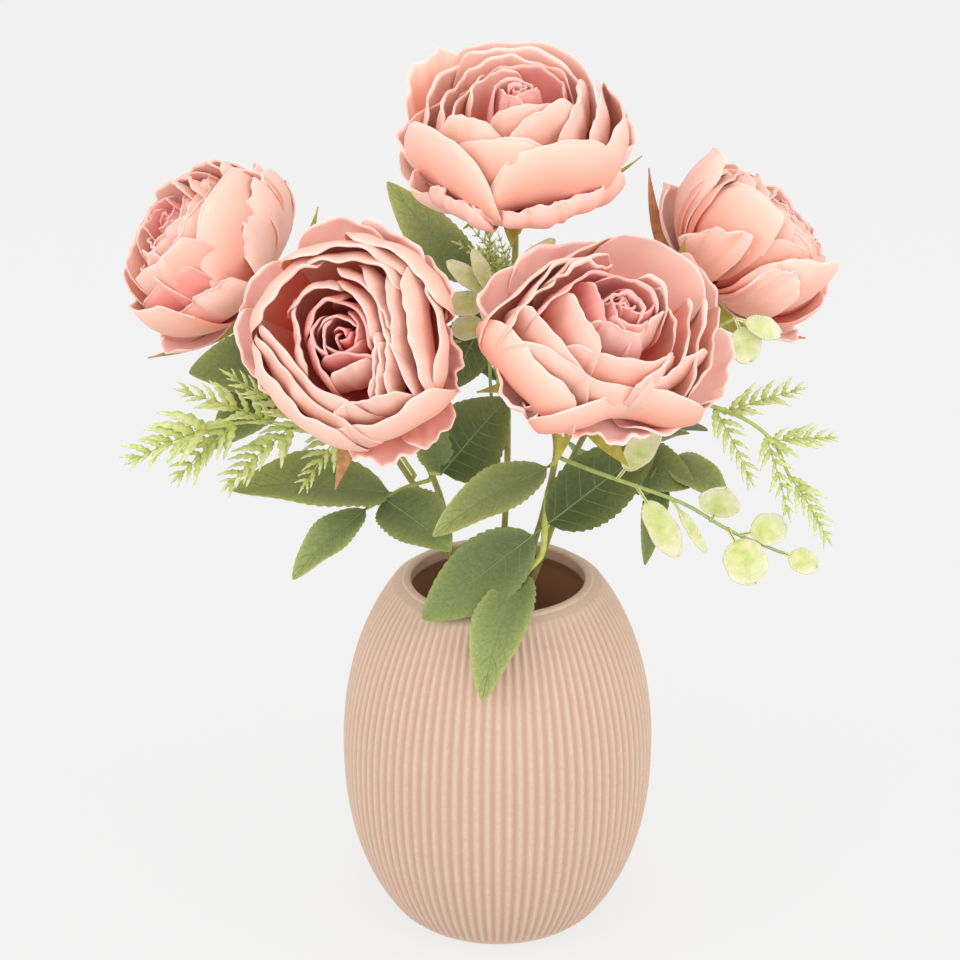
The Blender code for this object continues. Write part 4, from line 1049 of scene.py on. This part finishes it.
def petal_sheets(name, bloom, chance):
    """Petals whose rim is the quadratic through its left end, middle and right end, in azimuth,
    radius and height. From root to rim each runs along a cubic with four points: the root, the
    belly low down, the belly higher up and the rim, so that the rim leans in or flares. The way
    stops short at the rounded corners. Waves and folds lie along the cubic's normal and grow to
    the rim, and past the rim a small lip rolls outwards along an arc."""
    rows = np.array(PETALS[name] + ruled_rows(bloom, chance), float)
    count = len(rows)
    left, middle, right, extra = (rows[:, i:i + 3, None, None] for i in (0, 3, 6, 9))
    u = np.linspace(-1.0, 1.0, PETAL_COLUMNS)[None, None, :]
    v = np.linspace(0.0, 1.0, PETAL_ROWS)[None, :, None] ** 0.85

    def draw(low, high):
        return chance.uniform(low, high, (count, 1, 1))
    phase, pace = draw(0.0, 2.0 * np.pi), draw(*WAVE_PACE) + WAVE_MORE * (extra[:, 2] > WAVE_LIVELY)
    past = PETAL_PAST * u
    held = np.clip(past, -1.0, 1.0)

    def across(part, s, limit):
        half = (right[:, part] - left[:, part]) / 2.0
        skew = (right[:, part] + left[:, part]) / 2.0 - middle[:, part]
        skew = np.clip(skew, -limit * np.abs(half), limit * np.abs(half)) if limit else skew
        centre = (right[:, part] + left[:, part]) / 2.0 - skew
        return centre + half * s + skew * s**2
    azimuth = np.radians(across(0, past, PETAL_SKEW))
    centre = np.radians(across(0, 0.0, PETAL_SKEW))
    radius, height = MM * across(1, held, None), MM * across(2, held, None)
    belly = radius + MM * extra[:, 0]
    foot = PETAL_FOOT + PETAL_FOOT_RISE * np.clip(1.0 - radius / PETAL_FOOT_REACH, 0.0, 1.0)
    rise = height - foot

    past_round = np.clip((np.abs(u) - PETAL_ROUND_FROM) / (1.0 - PETAL_ROUND_FROM), 0.0, 1.0)
    edge = (1.0 - PETAL_CORNER * past_round**2
            + (NICK_LEAST + NICK_PER_WAVE * extra[:, 2])
            * (np.sin(pace * 3.4 * u + 2.0 * phase) + 0.5 * np.sin(pace * 8.1 * u + phase)))
    t = v * edge
    spots = [(PETAL_ROOT, foot), (belly, foot + BELLY_LOW * rise),
             (BELLY_OUT * belly, foot + BELLY_HIGH * rise), (radius, height)]
    share = [(1 - t) ** 3, 3 * t * (1 - t) ** 2, 3 * t**2 * (1 - t), t**3]
    distance, level = (sum(w * spot[i] for w, spot in zip(share, spots)) for i in (0, 1))
    slope = [3 * (1 - t) ** 2, 6 * t * (1 - t), 3 * t**2]
    way_out, way_up = (sum(w * (after[i] - before[i]) for w, before, after in zip(slope, spots, spots[1:]))
                       for i in (0, 1))
    long_way = np.sqrt(way_out**2 + way_up**2) + 1e-9
    way_out, way_up = way_out / long_way, way_up / long_way

    wave = MM * extra[:, 2] * draw(*WAVE_SHARE)
    waves = np.sin(pace * np.pi * u + phase) + 0.45 * np.sin(2.4 * pace * np.pi * u + 2.0 * phase)
    crease = (FOLD_DEPTH * np.sin(4.0 * u + 2.0 * np.sin(3.0 * v + phase) + 3.0 * phase)
              + CREASE_DEPTH * np.sin(11.0 * u + 6.0 * v + 2.0 * phase)) * np.sin(np.pi * v**1.3)
    offset = PETAL_OVERLAP * u * np.minimum(3.0 * v, 1.0) + wave * t**3 * waves + crease
    distance, level = distance + offset * way_up, level - offset * way_out

    curl = (draw(*LIP_CURL) * (0.80 + 0.30 * np.sin(3.0 * u + phase))
            * np.linspace(0.0, 1.0, LIP_ROWS + 1)[None, 1:, None])
    lip = draw(*LIP_WIDTH) * (1.0 - 0.93 * np.clip((np.abs(u) - 0.55) / 0.35, 0.0, 1.0))
    on, over = lip * np.sin(curl), lip * (1.0 - np.cos(curl))
    tilt_out, tilt_up = way_out[:, -1:], way_up[:, -1:]
    distance = np.concatenate([distance, distance[:, -1:] + on * tilt_out + over * tilt_up], axis=1)
    level = np.concatenate([level, level[:, -1:] + on * tilt_up - over * tilt_out], axis=1)
    wide = PETAL_NARROW + (1.0 - PETAL_NARROW) * np.sin(np.minimum(1.7 * v, 1.0) * np.pi / 2.0)
    turn = centre + (azimuth - centre) * wide
    turn = np.concatenate([turn, np.repeat(turn[:, -1:], LIP_ROWS, axis=1)], axis=1)

    inner = np.clip(1.0 - radius[:, :, PETAL_COLUMNS // 2, None] / HEART_RADIUS, 0.0, 1.0)
    away, aside = math.radians(bloom["heart"][0]), MM * bloom["heart"][1]
    sheets = np.stack([distance * np.cos(turn) + inner * aside * math.cos(away),
                       distance * np.sin(turn) + inner * aside * math.sin(away),
                       level * bloom["depth"]], axis=-1)
    # reach runs from the root, whose darker colours are partly painted shade, to the rim
    reach = np.concatenate([RIM_MARK * t, np.ones((count, LIP_ROWS, PETAL_COLUMNS))], axis=1)
    shade = SHADES[rows[:, 10].astype(int)]
    mauve = shade[:, 1] + bloom.get("mauve", 0.0) * shade[:, 0]
    tint = np.clip(mauve + chance.uniform(*TINT_STRAY, count), 0.0, 1.0)
    flat = np.ones(turn.shape)
    return sheets * bloom["size"], {"reach": reach * flat, "heart": shade[:, 0, None, None] * flat,
                                    "tint": tint[:, None, None] * flat}


def make_blooms(coat):
    """Each bloom's petals as one piece of closed cloth shells, marked where they face inwards."""
    for order, (name, bloom) in enumerate(BLOOMS.items()):
        chance = np.random.default_rng(71 + order)
        sheets, marks = petal_sheets(name, bloom, chance)
        placed = upright_to(bloom["facing"], bloom_base(bloom), sheets)
        points, faces, chart = shells(placed, PETAL_WALL)
        marks = {mark: both_sides(values) for mark, values in marks.items()}
        half = marks["reach"].shape[1] // 2
        marks["inward"] = np.repeat([[0.0, 1.0]], len(sheets), axis=0).repeat(half, axis=1)
        make_piece("rose_petals_" + name, points, faces, coat, "petal_pink", ["bloom_" + name],
                   marks, chart, math.radians(55.0))


# leaves

def blade_frame(roots, tips, faces):
    """The roots of blades, moved back by a twig's radius, and their run, side and upper way."""
    roots = roots - unit(tips - roots) * TWIG_RADIUS
    run = tips - roots
    side = unit(np.cross(run, faces))
    up = unit(np.cross(side, run))
    return roots, run, side, up


def leaf_half(v, stalk):
    """Half width of a pointed leaf: a power of a sine past its stalk, broadest below its middle."""
    past = np.maximum(0.0, (v - stalk) / (1.0 - stalk))
    return 0.5 * np.maximum(0.0, np.sin(np.pi * past**0.8)) ** 0.7


def lengths(frame_of):
    """The lengths of the blades' runs."""
    return np.linalg.norm(frame_of[1], axis=-1)[:, None, None]


def laid(frame_of, v, aside, rise):
    """Points over blades: a share v of the run, and so far aside and up."""
    origin, run, side, up = (part[:, None, None, :] for part in frame_of)
    return origin + run * v[..., None] + side * aside[..., None] + up * rise[..., None]


def saw(rows):
    """A saw over the rows of a blade: each tooth rises in two steps and drops."""
    return np.array([0.0, 0.6, 1.0])[np.arange(rows) % 3][None, :, None]


def leaf_place(frame_of, width, form, u, v, phase, teeth=0.0):
    """A point of a rose leaf. Along: the run. Across: half width times u, with teeth that grow to
    their point and drop. Up: an arch, a fold at the midrib, a drooping tip, a wavy edge and soft
    pillows between the side veins."""
    length = lengths(frame_of)
    stalk, bow = form
    half = np.maximum(width * leaf_half(v, stalk), LEAF_LEAST)
    reach = half * (1.0 + LEAF_TOOTH * teeth * np.clip(1.2 - v, 0.0, 1.0)) * u
    swell = np.sin(np.pi * v)
    arch = bow * length * swell
    fold = LEAF_FOLD * half * (np.abs(u) ** 1.3 - 0.5)
    droop = -LEAF_DROOP * length * np.clip(v - 0.55, 0.0, 1.0) ** 2
    wavy = LEAF_WAVE * np.sin(11.0 * v + phase) * np.abs(u) ** 2 * np.sign(u) * swell
    veins = np.abs(np.sin(np.pi * (LEAF_PAIRS + 1) * (v - VEIN_SLANT * np.abs(u))))
    pillow = LEAF_PILLOW * veins * np.sin(np.pi * np.abs(u)) * swell
    twist = LEAF_TWIST * np.sin(phase * 3.0) * v * reach
    return laid(frame_of, v, reach, arch + fold + droop + wavy + pillow + twist)


def along(path, share):
    """The point at a share of the way along a path's points."""
    spot = share * (len(path) - 1)
    before = min(int(spot), len(path) - 2)
    return path[before] + (path[before + 1] - path[before]) * (spot - before)


def sprig_path(sprig, steps=5):
    """A twig's way: it starts just clear of its stem's skin, square to it."""
    stem = STEM_COARSE[sprig["stem"]]
    first, *rest = MM * np.array(sprig["twig"])
    middles = (stem[1:] + stem[:-1]) / 2.0
    best = int(np.argmin(np.linalg.norm(middles - first, axis=1)))
    bar = stem[best + 1] - stem[best]
    share = min(1.0, max(0.0, float((first - stem[best]) @ bar / (bar @ bar))))
    foot = stem[best] + bar * share
    out = first - foot
    out = unit(out - bar * (out @ bar) / (bar @ bar))
    start = foot + out * (STEM_RADIUS + GAP)
    knee = foot + out * (STEM_RADIUS + GAP + 2.5 * TWIG_RADIUS)
    way = rest[-1] - (rest[-2] if len(rest) > 1 else knee)
    return np.concatenate([start[None], through([knee, *rest], rest[0] - knee, way, steps)])


def sprigs_of(kind):
    """The names of the sprigs of a kind."""
    return [name for name, sprig in SPRIGS.items() if sprig["kind"] == kind]


def blades_of(kind):
    """Each blade of the sprigs of a kind: its sprig's name, its place in the table, its root, its
    tip and width in mm and the side it faces."""
    for name in sprigs_of(kind):
        sprig = SPRIGS[name]
        path = sprig_path(sprig)
        for place, (share, tip, width) in enumerate(sprig["blades"] + FERN_MORE.get(name, [])):
            yield name, place, along(path, share), tip, width, sprig["face"]


def rose_blades():
    """Every rose leaf's node, tone, root, tip, width, face, stalk and arch."""
    rows = []
    for name, place, root, tip, width, face in blades_of("rose"):
        usual = (tip, width, LEAF_STALK, LEAF_BOW, face)
        tip, width, stalk, bow, face = LEAF_FORMS.get((name, place), usual)
        rows.append(dict(node=name, tone=LEAF_TONES[name][place], root=root, tip=MM * np.array(tip),
                         width=MM * width, face=face, stalk=stalk, bow=bow))
    return rows


def leaf_rows(rows):
    """The arrays of a list of leaves: their frames, their widths, their stalks and arches, and
    their phases."""
    roots, tips, faces, *sizes = (np.array([row[key] for row in rows])
                                  for key in ("root", "tip", "face", "width", "stalk", "bow"))
    width, *form = (size[:, None, None] for size in sizes)
    phase = (tips[:, :1] * 190.0 + tips[:, 2:] * 70.0)[:, :, None]
    return blade_frame(roots, tips, faces), width, form, phase


def make_leaves(coats, vein_coat):
    """Rose leaves by tone of cloth, and their veins as fine raised ribs on the same surface."""
    table = rose_blades()
    v = np.linspace(0.0, 1.0, LEAF_ROWS)[None, :, None]
    u = np.linspace(-1.0, 1.0, LEAF_COLUMNS)[None, None, :]
    teeth = saw(LEAF_ROWS) * np.abs(u) ** 6
    for tone, (cloth, coat) in enumerate(coats.items()):
        rows = [row for row in table if row["tone"] == tone]
        frame_of, width, form, phase = leaf_rows(rows)
        grid = leaf_place(frame_of, width, form, u, v, phase, teeth)
        points, faces, chart = shells(grid, LEAF_WALL)
        young = np.clip(0.72 * v**2.2 + 0.62 * np.abs(u) ** 4, 0.0, 1.0)
        marks = {"young": both_sides(np.broadcast_to(young, grid.shape[:3]))}
        make_piece("rose_leaves_" + cloth, points, faces, coat, "leaf_green",
                   sorted({row["node"] for row in rows}), marks, chart, math.radians(50.0))
    frame_of, width, form, phase = leaf_rows(table)
    step = np.linspace(0.0, 1.0, 15)[None, :, None]
    lines = [(np.zeros_like(step), 0.01 + 0.97 * step, MIDRIB_RADIUS)]
    for pair in range(LEAF_PAIRS):
        line_v = (pair + 0.7) / (LEAF_PAIRS + 1.0) + VEIN_SLANT * step**1.15
        lines += [(0.90 * step * hand, np.minimum(line_v, 0.985), VEIN_RADIUS) for hand in (-1.0, 1.0)]
    parts = []
    for line_u, line_v, thick in lines:
        path = leaf_place(frame_of, width, form, line_u, line_v, phase)[:, :, 0]
        lift = frame_of[3][:, None, :] * VEIN_LIFT
        parts.append(tubes(path + lift, thick * (1.0 - 0.7 * step[..., 0]), 5))
    points, faces = join(parts)
    make_piece("rose_leaf_veins", points, faces, vein_coat, "leaf_green",
               sorted({row["node"] for row in table}))


def fingers(roots, tips, widths, up, bend):
    """A fern's fingers over an arched run that bends aside by a square of the way: half width is
    a power of a sine, times a saw of teeth that grow towards the tip and drop. Returns points,
    faces and each point's share of the way."""
    frame_of = blade_frame(roots, tips, np.broadcast_to(up, roots.shape))
    v = np.linspace(0.0, 1.0, FINGER_ROWS)[None, :, None]
    u = np.linspace(-1.0, 1.0, 3)[None, None, :]
    teeth = 0.55 + 0.45 * saw(FINGER_ROWS)
    half = np.maximum(widths[:, None, None] * 0.5 * np.sin(np.pi * v**0.62) ** 0.8 * teeth, FINGER_LEAST)
    length = lengths(frame_of)
    rise = FINGER_ARCH * length * np.sin(np.pi * v) + 0.25 * half * (np.abs(u) - 0.5)
    grid = laid(frame_of, v, half * u + bend * length * v**2, rise)
    way = both_sides(np.broadcast_to(v, grid.shape[:3]))
    return *shells(grid, FERN_WALL)[:2], way.ravel()


def make_ferns(coat):
    """Fern fronds: a fine rib from root to tip, and on both sides long toothed fingers that
    lean ahead and shorten to the tip, where one last finger runs on. Lengths and angles vary."""
    chance = np.random.default_rng(29)
    parts = []
    step = np.linspace(0.0, 1.0, 9)[:, None]
    for _, _, root, tip, width, face in blades_of("fern"):
        origin, run, side, up = (part[0] for part in blade_frame(
            root[None], MM * np.array([tip]), np.array([face])))
        length, ahead = np.linalg.norm(run), unit(run)
        arch = FERN_ARCH * length
        rib = origin + run * step + up * arch * np.sin(np.pi * step)
        points, faces = tubes(rib[None], FERN_RIB * (1.0 - 0.6 * step.T), 5)
        parts.append((points, faces, np.full(len(points), 0.3)))
        count = max(4, int(round(length / FINGER_EVERY)))
        for hand in (-1.0, 1.0):
            place = np.linspace(*FINGER_SPAN, count) + chance.uniform(-0.02, 0.02, count)
            spots = origin + run * place[:, None] + up * (arch * np.sin(np.pi * place))[:, None]
            reach = FINGER_REACH * MM * width * (1.0 - FINGER_TAPER * place)
            reach = reach * chance.uniform(*FINGER_VARY, count)
            lean = chance.uniform(*FINGER_LEAN, count)[:, None]
            lift = chance.uniform(*FINGER_LIFT, count)[:, None]
            way = unit(side * hand * FINGER_OUT + ahead * lean + up * lift)
            ends = spots + way * reach[:, None]
            parts.append(fingers(spots, ends, FINGER_WIDTH * reach, up, -FINGER_BEND * hand))
        last = (origin + run * FINGER_LAST + up * 0.4 * arch)[None]
        parts.append(fingers(last, last + run * 0.20, np.array([0.10 * MM * width]), up, 0.0))
    points, faces = join([part[:2] for part in parts])
    make_piece("fern_fronds", points, faces, coat, "fern_green", sprigs_of("fern"),
               {"outer": np.concatenate([part[2] for part in parts])})


def make_fillers(coat, fleck_coat):
    """Round leaves on short stalks: half width is the root of one less a square, slightly
    cupped, with scattered grains of white fleck on their faces."""
    chance = np.random.default_rng(19)
    rows = [(root, tip, width, face, ROUND_PAINTED_LIGHT.get(name, 0.0))
            for name, _, root, tip, width, face in blades_of("round")]
    roots, tips, widths, faces, pale = (np.array([row[i] for row in rows], float) for i in range(5))
    frame_of = blade_frame(roots, MM * tips, faces)
    width = MM * widths[:, None, None]

    def from_middle(v):
        return 2.0 * np.maximum(0.0, (v - ROUND_STALK) / (1.0 - ROUND_STALK)) - 1.0

    def place(u, v):
        round_half = width * 0.5 * np.sqrt(np.maximum(0.0, 1.0 - from_middle(v) ** 2))
        half = np.maximum(round_half, ROUND_LEAST) * (1.0 + 0.05 * np.sin(17.0 * v + width * 4000.0))
        arch = ROUND_ARCH * lengths(frame_of) * np.sin(np.pi * v)
        return laid(frame_of, v, half * u, ROUND_CUP * width * (np.abs(u) ** 2 - 0.4) + arch)
    disc = (1.0 - ROUND_STALK) / 2.0 * (1.0 - np.cos(np.linspace(0.0, np.pi, 15)))
    v = np.append([0.0, ROUND_STALK / 2.0], ROUND_STALK + disc)[None, :, None]
    u = np.sin(np.linspace(-1.0, 1.0, 9) * np.pi / 2.0)[None, None, :]
    points, quads, chart = shells(place(u, v), ROUND_WALL)
    ring = np.clip(np.sqrt(u**2 + from_middle(v) ** 2), 0.0, 1.0)
    # Each sprig's share of painted light makes its leaves paler all over
    outer = np.clip(0.45 * ring**3 + 0.75 * v - 0.05 + pale[:, None, None], 0.0, 1.0)
    make_piece("round_leaves", points, quads, coat, "filler_green", sprigs_of("round"),
               {"outer": both_sides(outer)}, chart)
    spread = (len(rows), FLECKS, 1)
    u = np.sqrt(chance.uniform(0.0, 1.0, spread)) * chance.choice([-1.0, 1.0], spread)
    v = chance.uniform(*FLECK_SPAN, spread)
    spots = place(u, v)[:, :, 0] + frame_of[3][:, None, :] * FLECK_LIFT
    size = chance.uniform(*FLECK_SIZE, (*spread, 1))
    corners = np.concatenate([np.eye(3), -np.eye(3)])
    grains = (spots[:, :, None] + corners * size).reshape(-1, 3)
    solid = np.array([[0, 1, 2], [1, 3, 2], [3, 4, 2], [4, 0, 2],
                      [1, 0, 5], [3, 1, 5], [4, 3, 5], [0, 4, 5]])
    faces = (solid + (np.arange(len(rows) * FLECKS) * 6)[:, None, None]).reshape(-1, 3)
    make_piece("leaf_flecks", grains, np.pad(faces, ((0, 0), (0, 1)), constant_values=-1),
               fleck_coat, "filler_green", sprigs_of("round"))


def make_twigs():
    """The twigs of every sprig, by kind."""
    for kind, (light, dark, slot) in TWIGS.items():
        names = sprigs_of(kind)
        paths = np.stack([sprig_path(SPRIGS[name], 24) for name in names])
        step = np.linspace(0.0, 1.0, paths.shape[1])
        past_knot = np.mod(step * TWIG_KNOTS, 1.0) - 0.5
        knots = 1.0 + TWIG_KNOT_RISE * np.exp(-(past_knot / TWIG_KNOT_WIDTH) ** 2)
        thick = np.array([TWIG_THICK.get(name, 1.0) for name in names])[:, None]
        points, faces = tubes(paths, thick * TWIG_RADIUS * (TWIG_ROOT - TWIG_TAPER * step) * knots, 8)
        make_piece("twigs_" + kind, points, faces, mottled_coat(kind + "_twig", light, dark, 0.5, 300.0),
                   slot, names)


def make_calyxes(coat, hip_coat):
    """Under each bloom a turned hip and its sepals: a narrow blade whose half width is a power of
    a sine. Most droop by the power 1.5 of the way; the long ones sag in an arch. The mark brown
    runs along each from its root to its tip."""
    for order, (name, bloom) in enumerate(BLOOMS.items()):
        chance = np.random.default_rng(131 + order)
        base = bloom_base(bloom)
        angle = bloom["turn"] + 2.0 * np.pi * (np.arange(SEPAL_COUNT) + 0.5) / SEPAL_COUNT
        out = np.stack([np.cos(angle), np.sin(angle), np.zeros(SEPAL_COUNT)], axis=1)
        length = SEPAL_LENGTH * bloom.get("sepal_share", 1.0) * chance.uniform(*SEPAL_VARY, SEPAL_COUNT)
        fall = chance.uniform(*SEPAL_FALL, SEPAL_COUNT)
        root = out * SEPAL_ROOT[0] + [0.0, 0.0, SEPAL_ROOT[1]]
        run = out * length[:, None]
        width, arch = np.full(SEPAL_COUNT, SEPAL_WIDTH), np.full(SEPAL_COUNT, SEPAL_ARCH)
        brown = np.tile([0.0, 0.12], (SEPAL_COUNT, 1))
        shown = np.tile([0.0, 0.0, 1.0], (SEPAL_COUNT, 1))
        into = upright_to(bloom["facing"], (0.0, 0.0, 0.0), np.eye(3))
        to_front = into @ (0.0, -1.0, 0.3)
        for tip, wide, first, last in bloom["sepals"]:
            local = into @ (MM * np.array(tip) - base)
            toward = math.atan2(local[1], local[0])
            near = int(np.argmin(np.abs((angle - toward + np.pi) % (2.0 * np.pi) - np.pi)))
            root[near] = [SEPAL_ROOT[0] * math.cos(toward), SEPAL_ROOT[0] * math.sin(toward), SEPAL_ROOT[1]]
            run[near] = local - root[near]
            width[near], arch[near], fall[near] = MM * wide, -LONG_SEPAL_SAG, 0.0
            brown[near], shown[near] = (first, last), to_front
        v = np.linspace(0.0, 1.0, SEPAL_ROWS)[None, :, None]
        u = np.linspace(-1.0, 1.0, SEPAL_COLUMNS)[None, None, :]
        side = unit(np.cross(shown, run))
        upper = unit(np.cross(run, unit(np.cross([0.0, 0.0, 1.0], run))))
        frame_of = (root, run, side, upper)
        half = np.maximum(width[:, None, None] * 0.5 * np.sin(np.pi * v**0.62) ** 0.9, SEPAL_LEAST)
        sag = arch[:, None, None] * np.sin(np.pi * v) - fall[:, None, None] * v**1.5
        rise = lengths(frame_of) * sag + SEPAL_FOLD * half * (np.abs(u) - 0.5)
        grid = laid(frame_of, v, half * u, rise)
        points, faces, _ = shells(grid, SEPAL_WALL)
        share = brown[:, :1, None] + (brown[:, 1:, None] - brown[:, :1, None]) * v**2
        share = np.broadcast_to(share, grid.shape[:3])
        profile = sampled(np.array(HIP_PROFILE)[::-1] - [0.0, GAP], HIP_ROWS)
        radii = np.repeat(profile[:, :1], HIP_SIDES, axis=1)
        hip_points, hip_faces, _ = turned(radii, profile[:, 1], HIP_SIDES)
        make_piece("sepals_" + name, upright_to(bloom["facing"], base, points), faces, coat, "calyx_green",
                   ["calyx_" + name], {"brown": both_sides(share)})
        make_piece("hip_" + name, upright_to(bloom["facing"], base, hip_points), hip_faces, hip_coat,
                   "calyx_green", ["calyx_" + name])


def make_tag(coat):
    """A blank card against the back of a stem, bowed a little across its width."""
    stem = STEM_COARSE["right"]
    after = int(np.argmax(stem[:, 2] > TAG_AT))
    rise = unit(stem[after] - stem[after - 1])
    middle = (stem[after] + stem[after - 1]) / 2.0
    across = unit(np.cross(rise, [0.0, -1.0, 0.0]))
    back = unit(np.cross(rise, across))
    back = -back if back[1] < 0.0 else back
    centre = middle + back * (STEM_RADIUS + GAP + TAG_THICKNESS / 2.0) + across * TAG_ASIDE
    v, u = np.meshgrid(np.linspace(-0.5, 0.5, 9), np.linspace(-0.5, 0.5, 9), indexing="ij")
    bow = TAG_BOW * u**2
    grid = (centre + across * (u * TAG_WIDTH)[..., None] + rise * (v * TAG_HEIGHT)[..., None]
            + back * bow[..., None])
    points, faces, chart = shells(grid[None], TAG_THICKNESS * 0.9)
    make_piece("blank_card", points, faces, coat, "card_white", ["stem_tag"], bake_map=chart,
               sharp=math.radians(40.0))


# the room

def make_room():
    """A pale floor, an even bright room and soft lamps, with the camera at the photo's angle."""
    mesh = bpy.data.meshes.new("floor")
    corners = [(FLOOR_SIDE * x, FLOOR_SIDE * y, 0.0) for x, y in ((-1, -1), (1, -1), (1, 1), (-1, 1))]
    mesh.from_pydata(corners, [], [(0, 1, 2, 3)])
    coat, _, _, shader = new_coat("pale_floor", 0.9, 0.0)
    white = (1.0, 1.0, 1.0, 1.0)
    fill(shader, {"Base Color": (FLOOR_GREY, FLOOR_GREY, FLOOR_GREY, 1.0), "Emission Color": white,
                  "Emission Strength": FLOOR_GLOW})
    mesh.materials.append(coat)
    floor = new_object("floor", mesh)

    world = bpy.data.worlds.new("bright_room")
    world.use_nodes = True
    fill(world.node_tree.nodes["Background"], {"Color": white, "Strength": SKY_LIGHT})
    bpy.context.scene.world = world
    for name, (place, size, watts) in LAMPS.items():
        lamp = bpy.data.lights.new(name, "AREA")
        lamp.size, lamp.energy = size, watts
        piece = new_object(name, lamp)
        piece.location = place
        piece.rotation_euler = (Vector(LAMP_AIM) - Vector(place)).to_track_quat("-Z", "Y").to_euler()

    lens = bpy.data.cameras.new("camera")
    lens.lens, lens.sensor_width = CAMERA_LENS, 36.0
    camera = new_object("camera", lens)
    away = Vector((0.0, -math.cos(CAMERA_DOWN), math.sin(CAMERA_DOWN)))
    camera.location = Vector(CAMERA_AIM) + CAMERA_AWAY * away
    camera.rotation_euler = (math.pi / 2.0 - CAMERA_DOWN, 0.0, 0.0)
    bpy.context.scene.camera = camera
    bpy.context.scene.view_settings.view_transform = "Standard"


make_room()
make_vase()
make_stems(mottled_coat("stem_plastic", (172, 166, 94), (138, 138, 68), 0.5, 260.0))
make_blooms(petal_coat())
make_calyxes(sepal_coat(), mottled_coat("hip_plastic", (164, 172, 88), (132, 144, 64), 0.5, 300.0))
make_leaves({tone: run_coat("leaf_cloth_" + tone, "young", *cloth, 0.55, 700.0)
             for tone, cloth in LEAF_CLOTHS.items()},
            mottled_coat("leaf_vein_paint", (136, 150, 96), (116, 132, 76), 0.6, 300.0))
make_ferns(run_coat("fern_plastic", "outer", ((196, 204, 106), (148, 166, 60)),
                    ((236, 238, 196), (198, 214, 124)), 0.45, 420.0))
make_fillers(run_coat("round_leaf_plastic", "outer", ((208, 214, 106), (166, 184, 66)),
                      ((236, 228, 208), (208, 212, 156)), 0.4, 240.0),
             mottled_coat("white_fleck", (244, 246, 238), (230, 234, 220), 0.5, 300.0))
make_twigs()
make_tag(mottled_coat("plain_card", (250, 250, 248), (240, 240, 238), 0.7, 500.0, 0.00004))
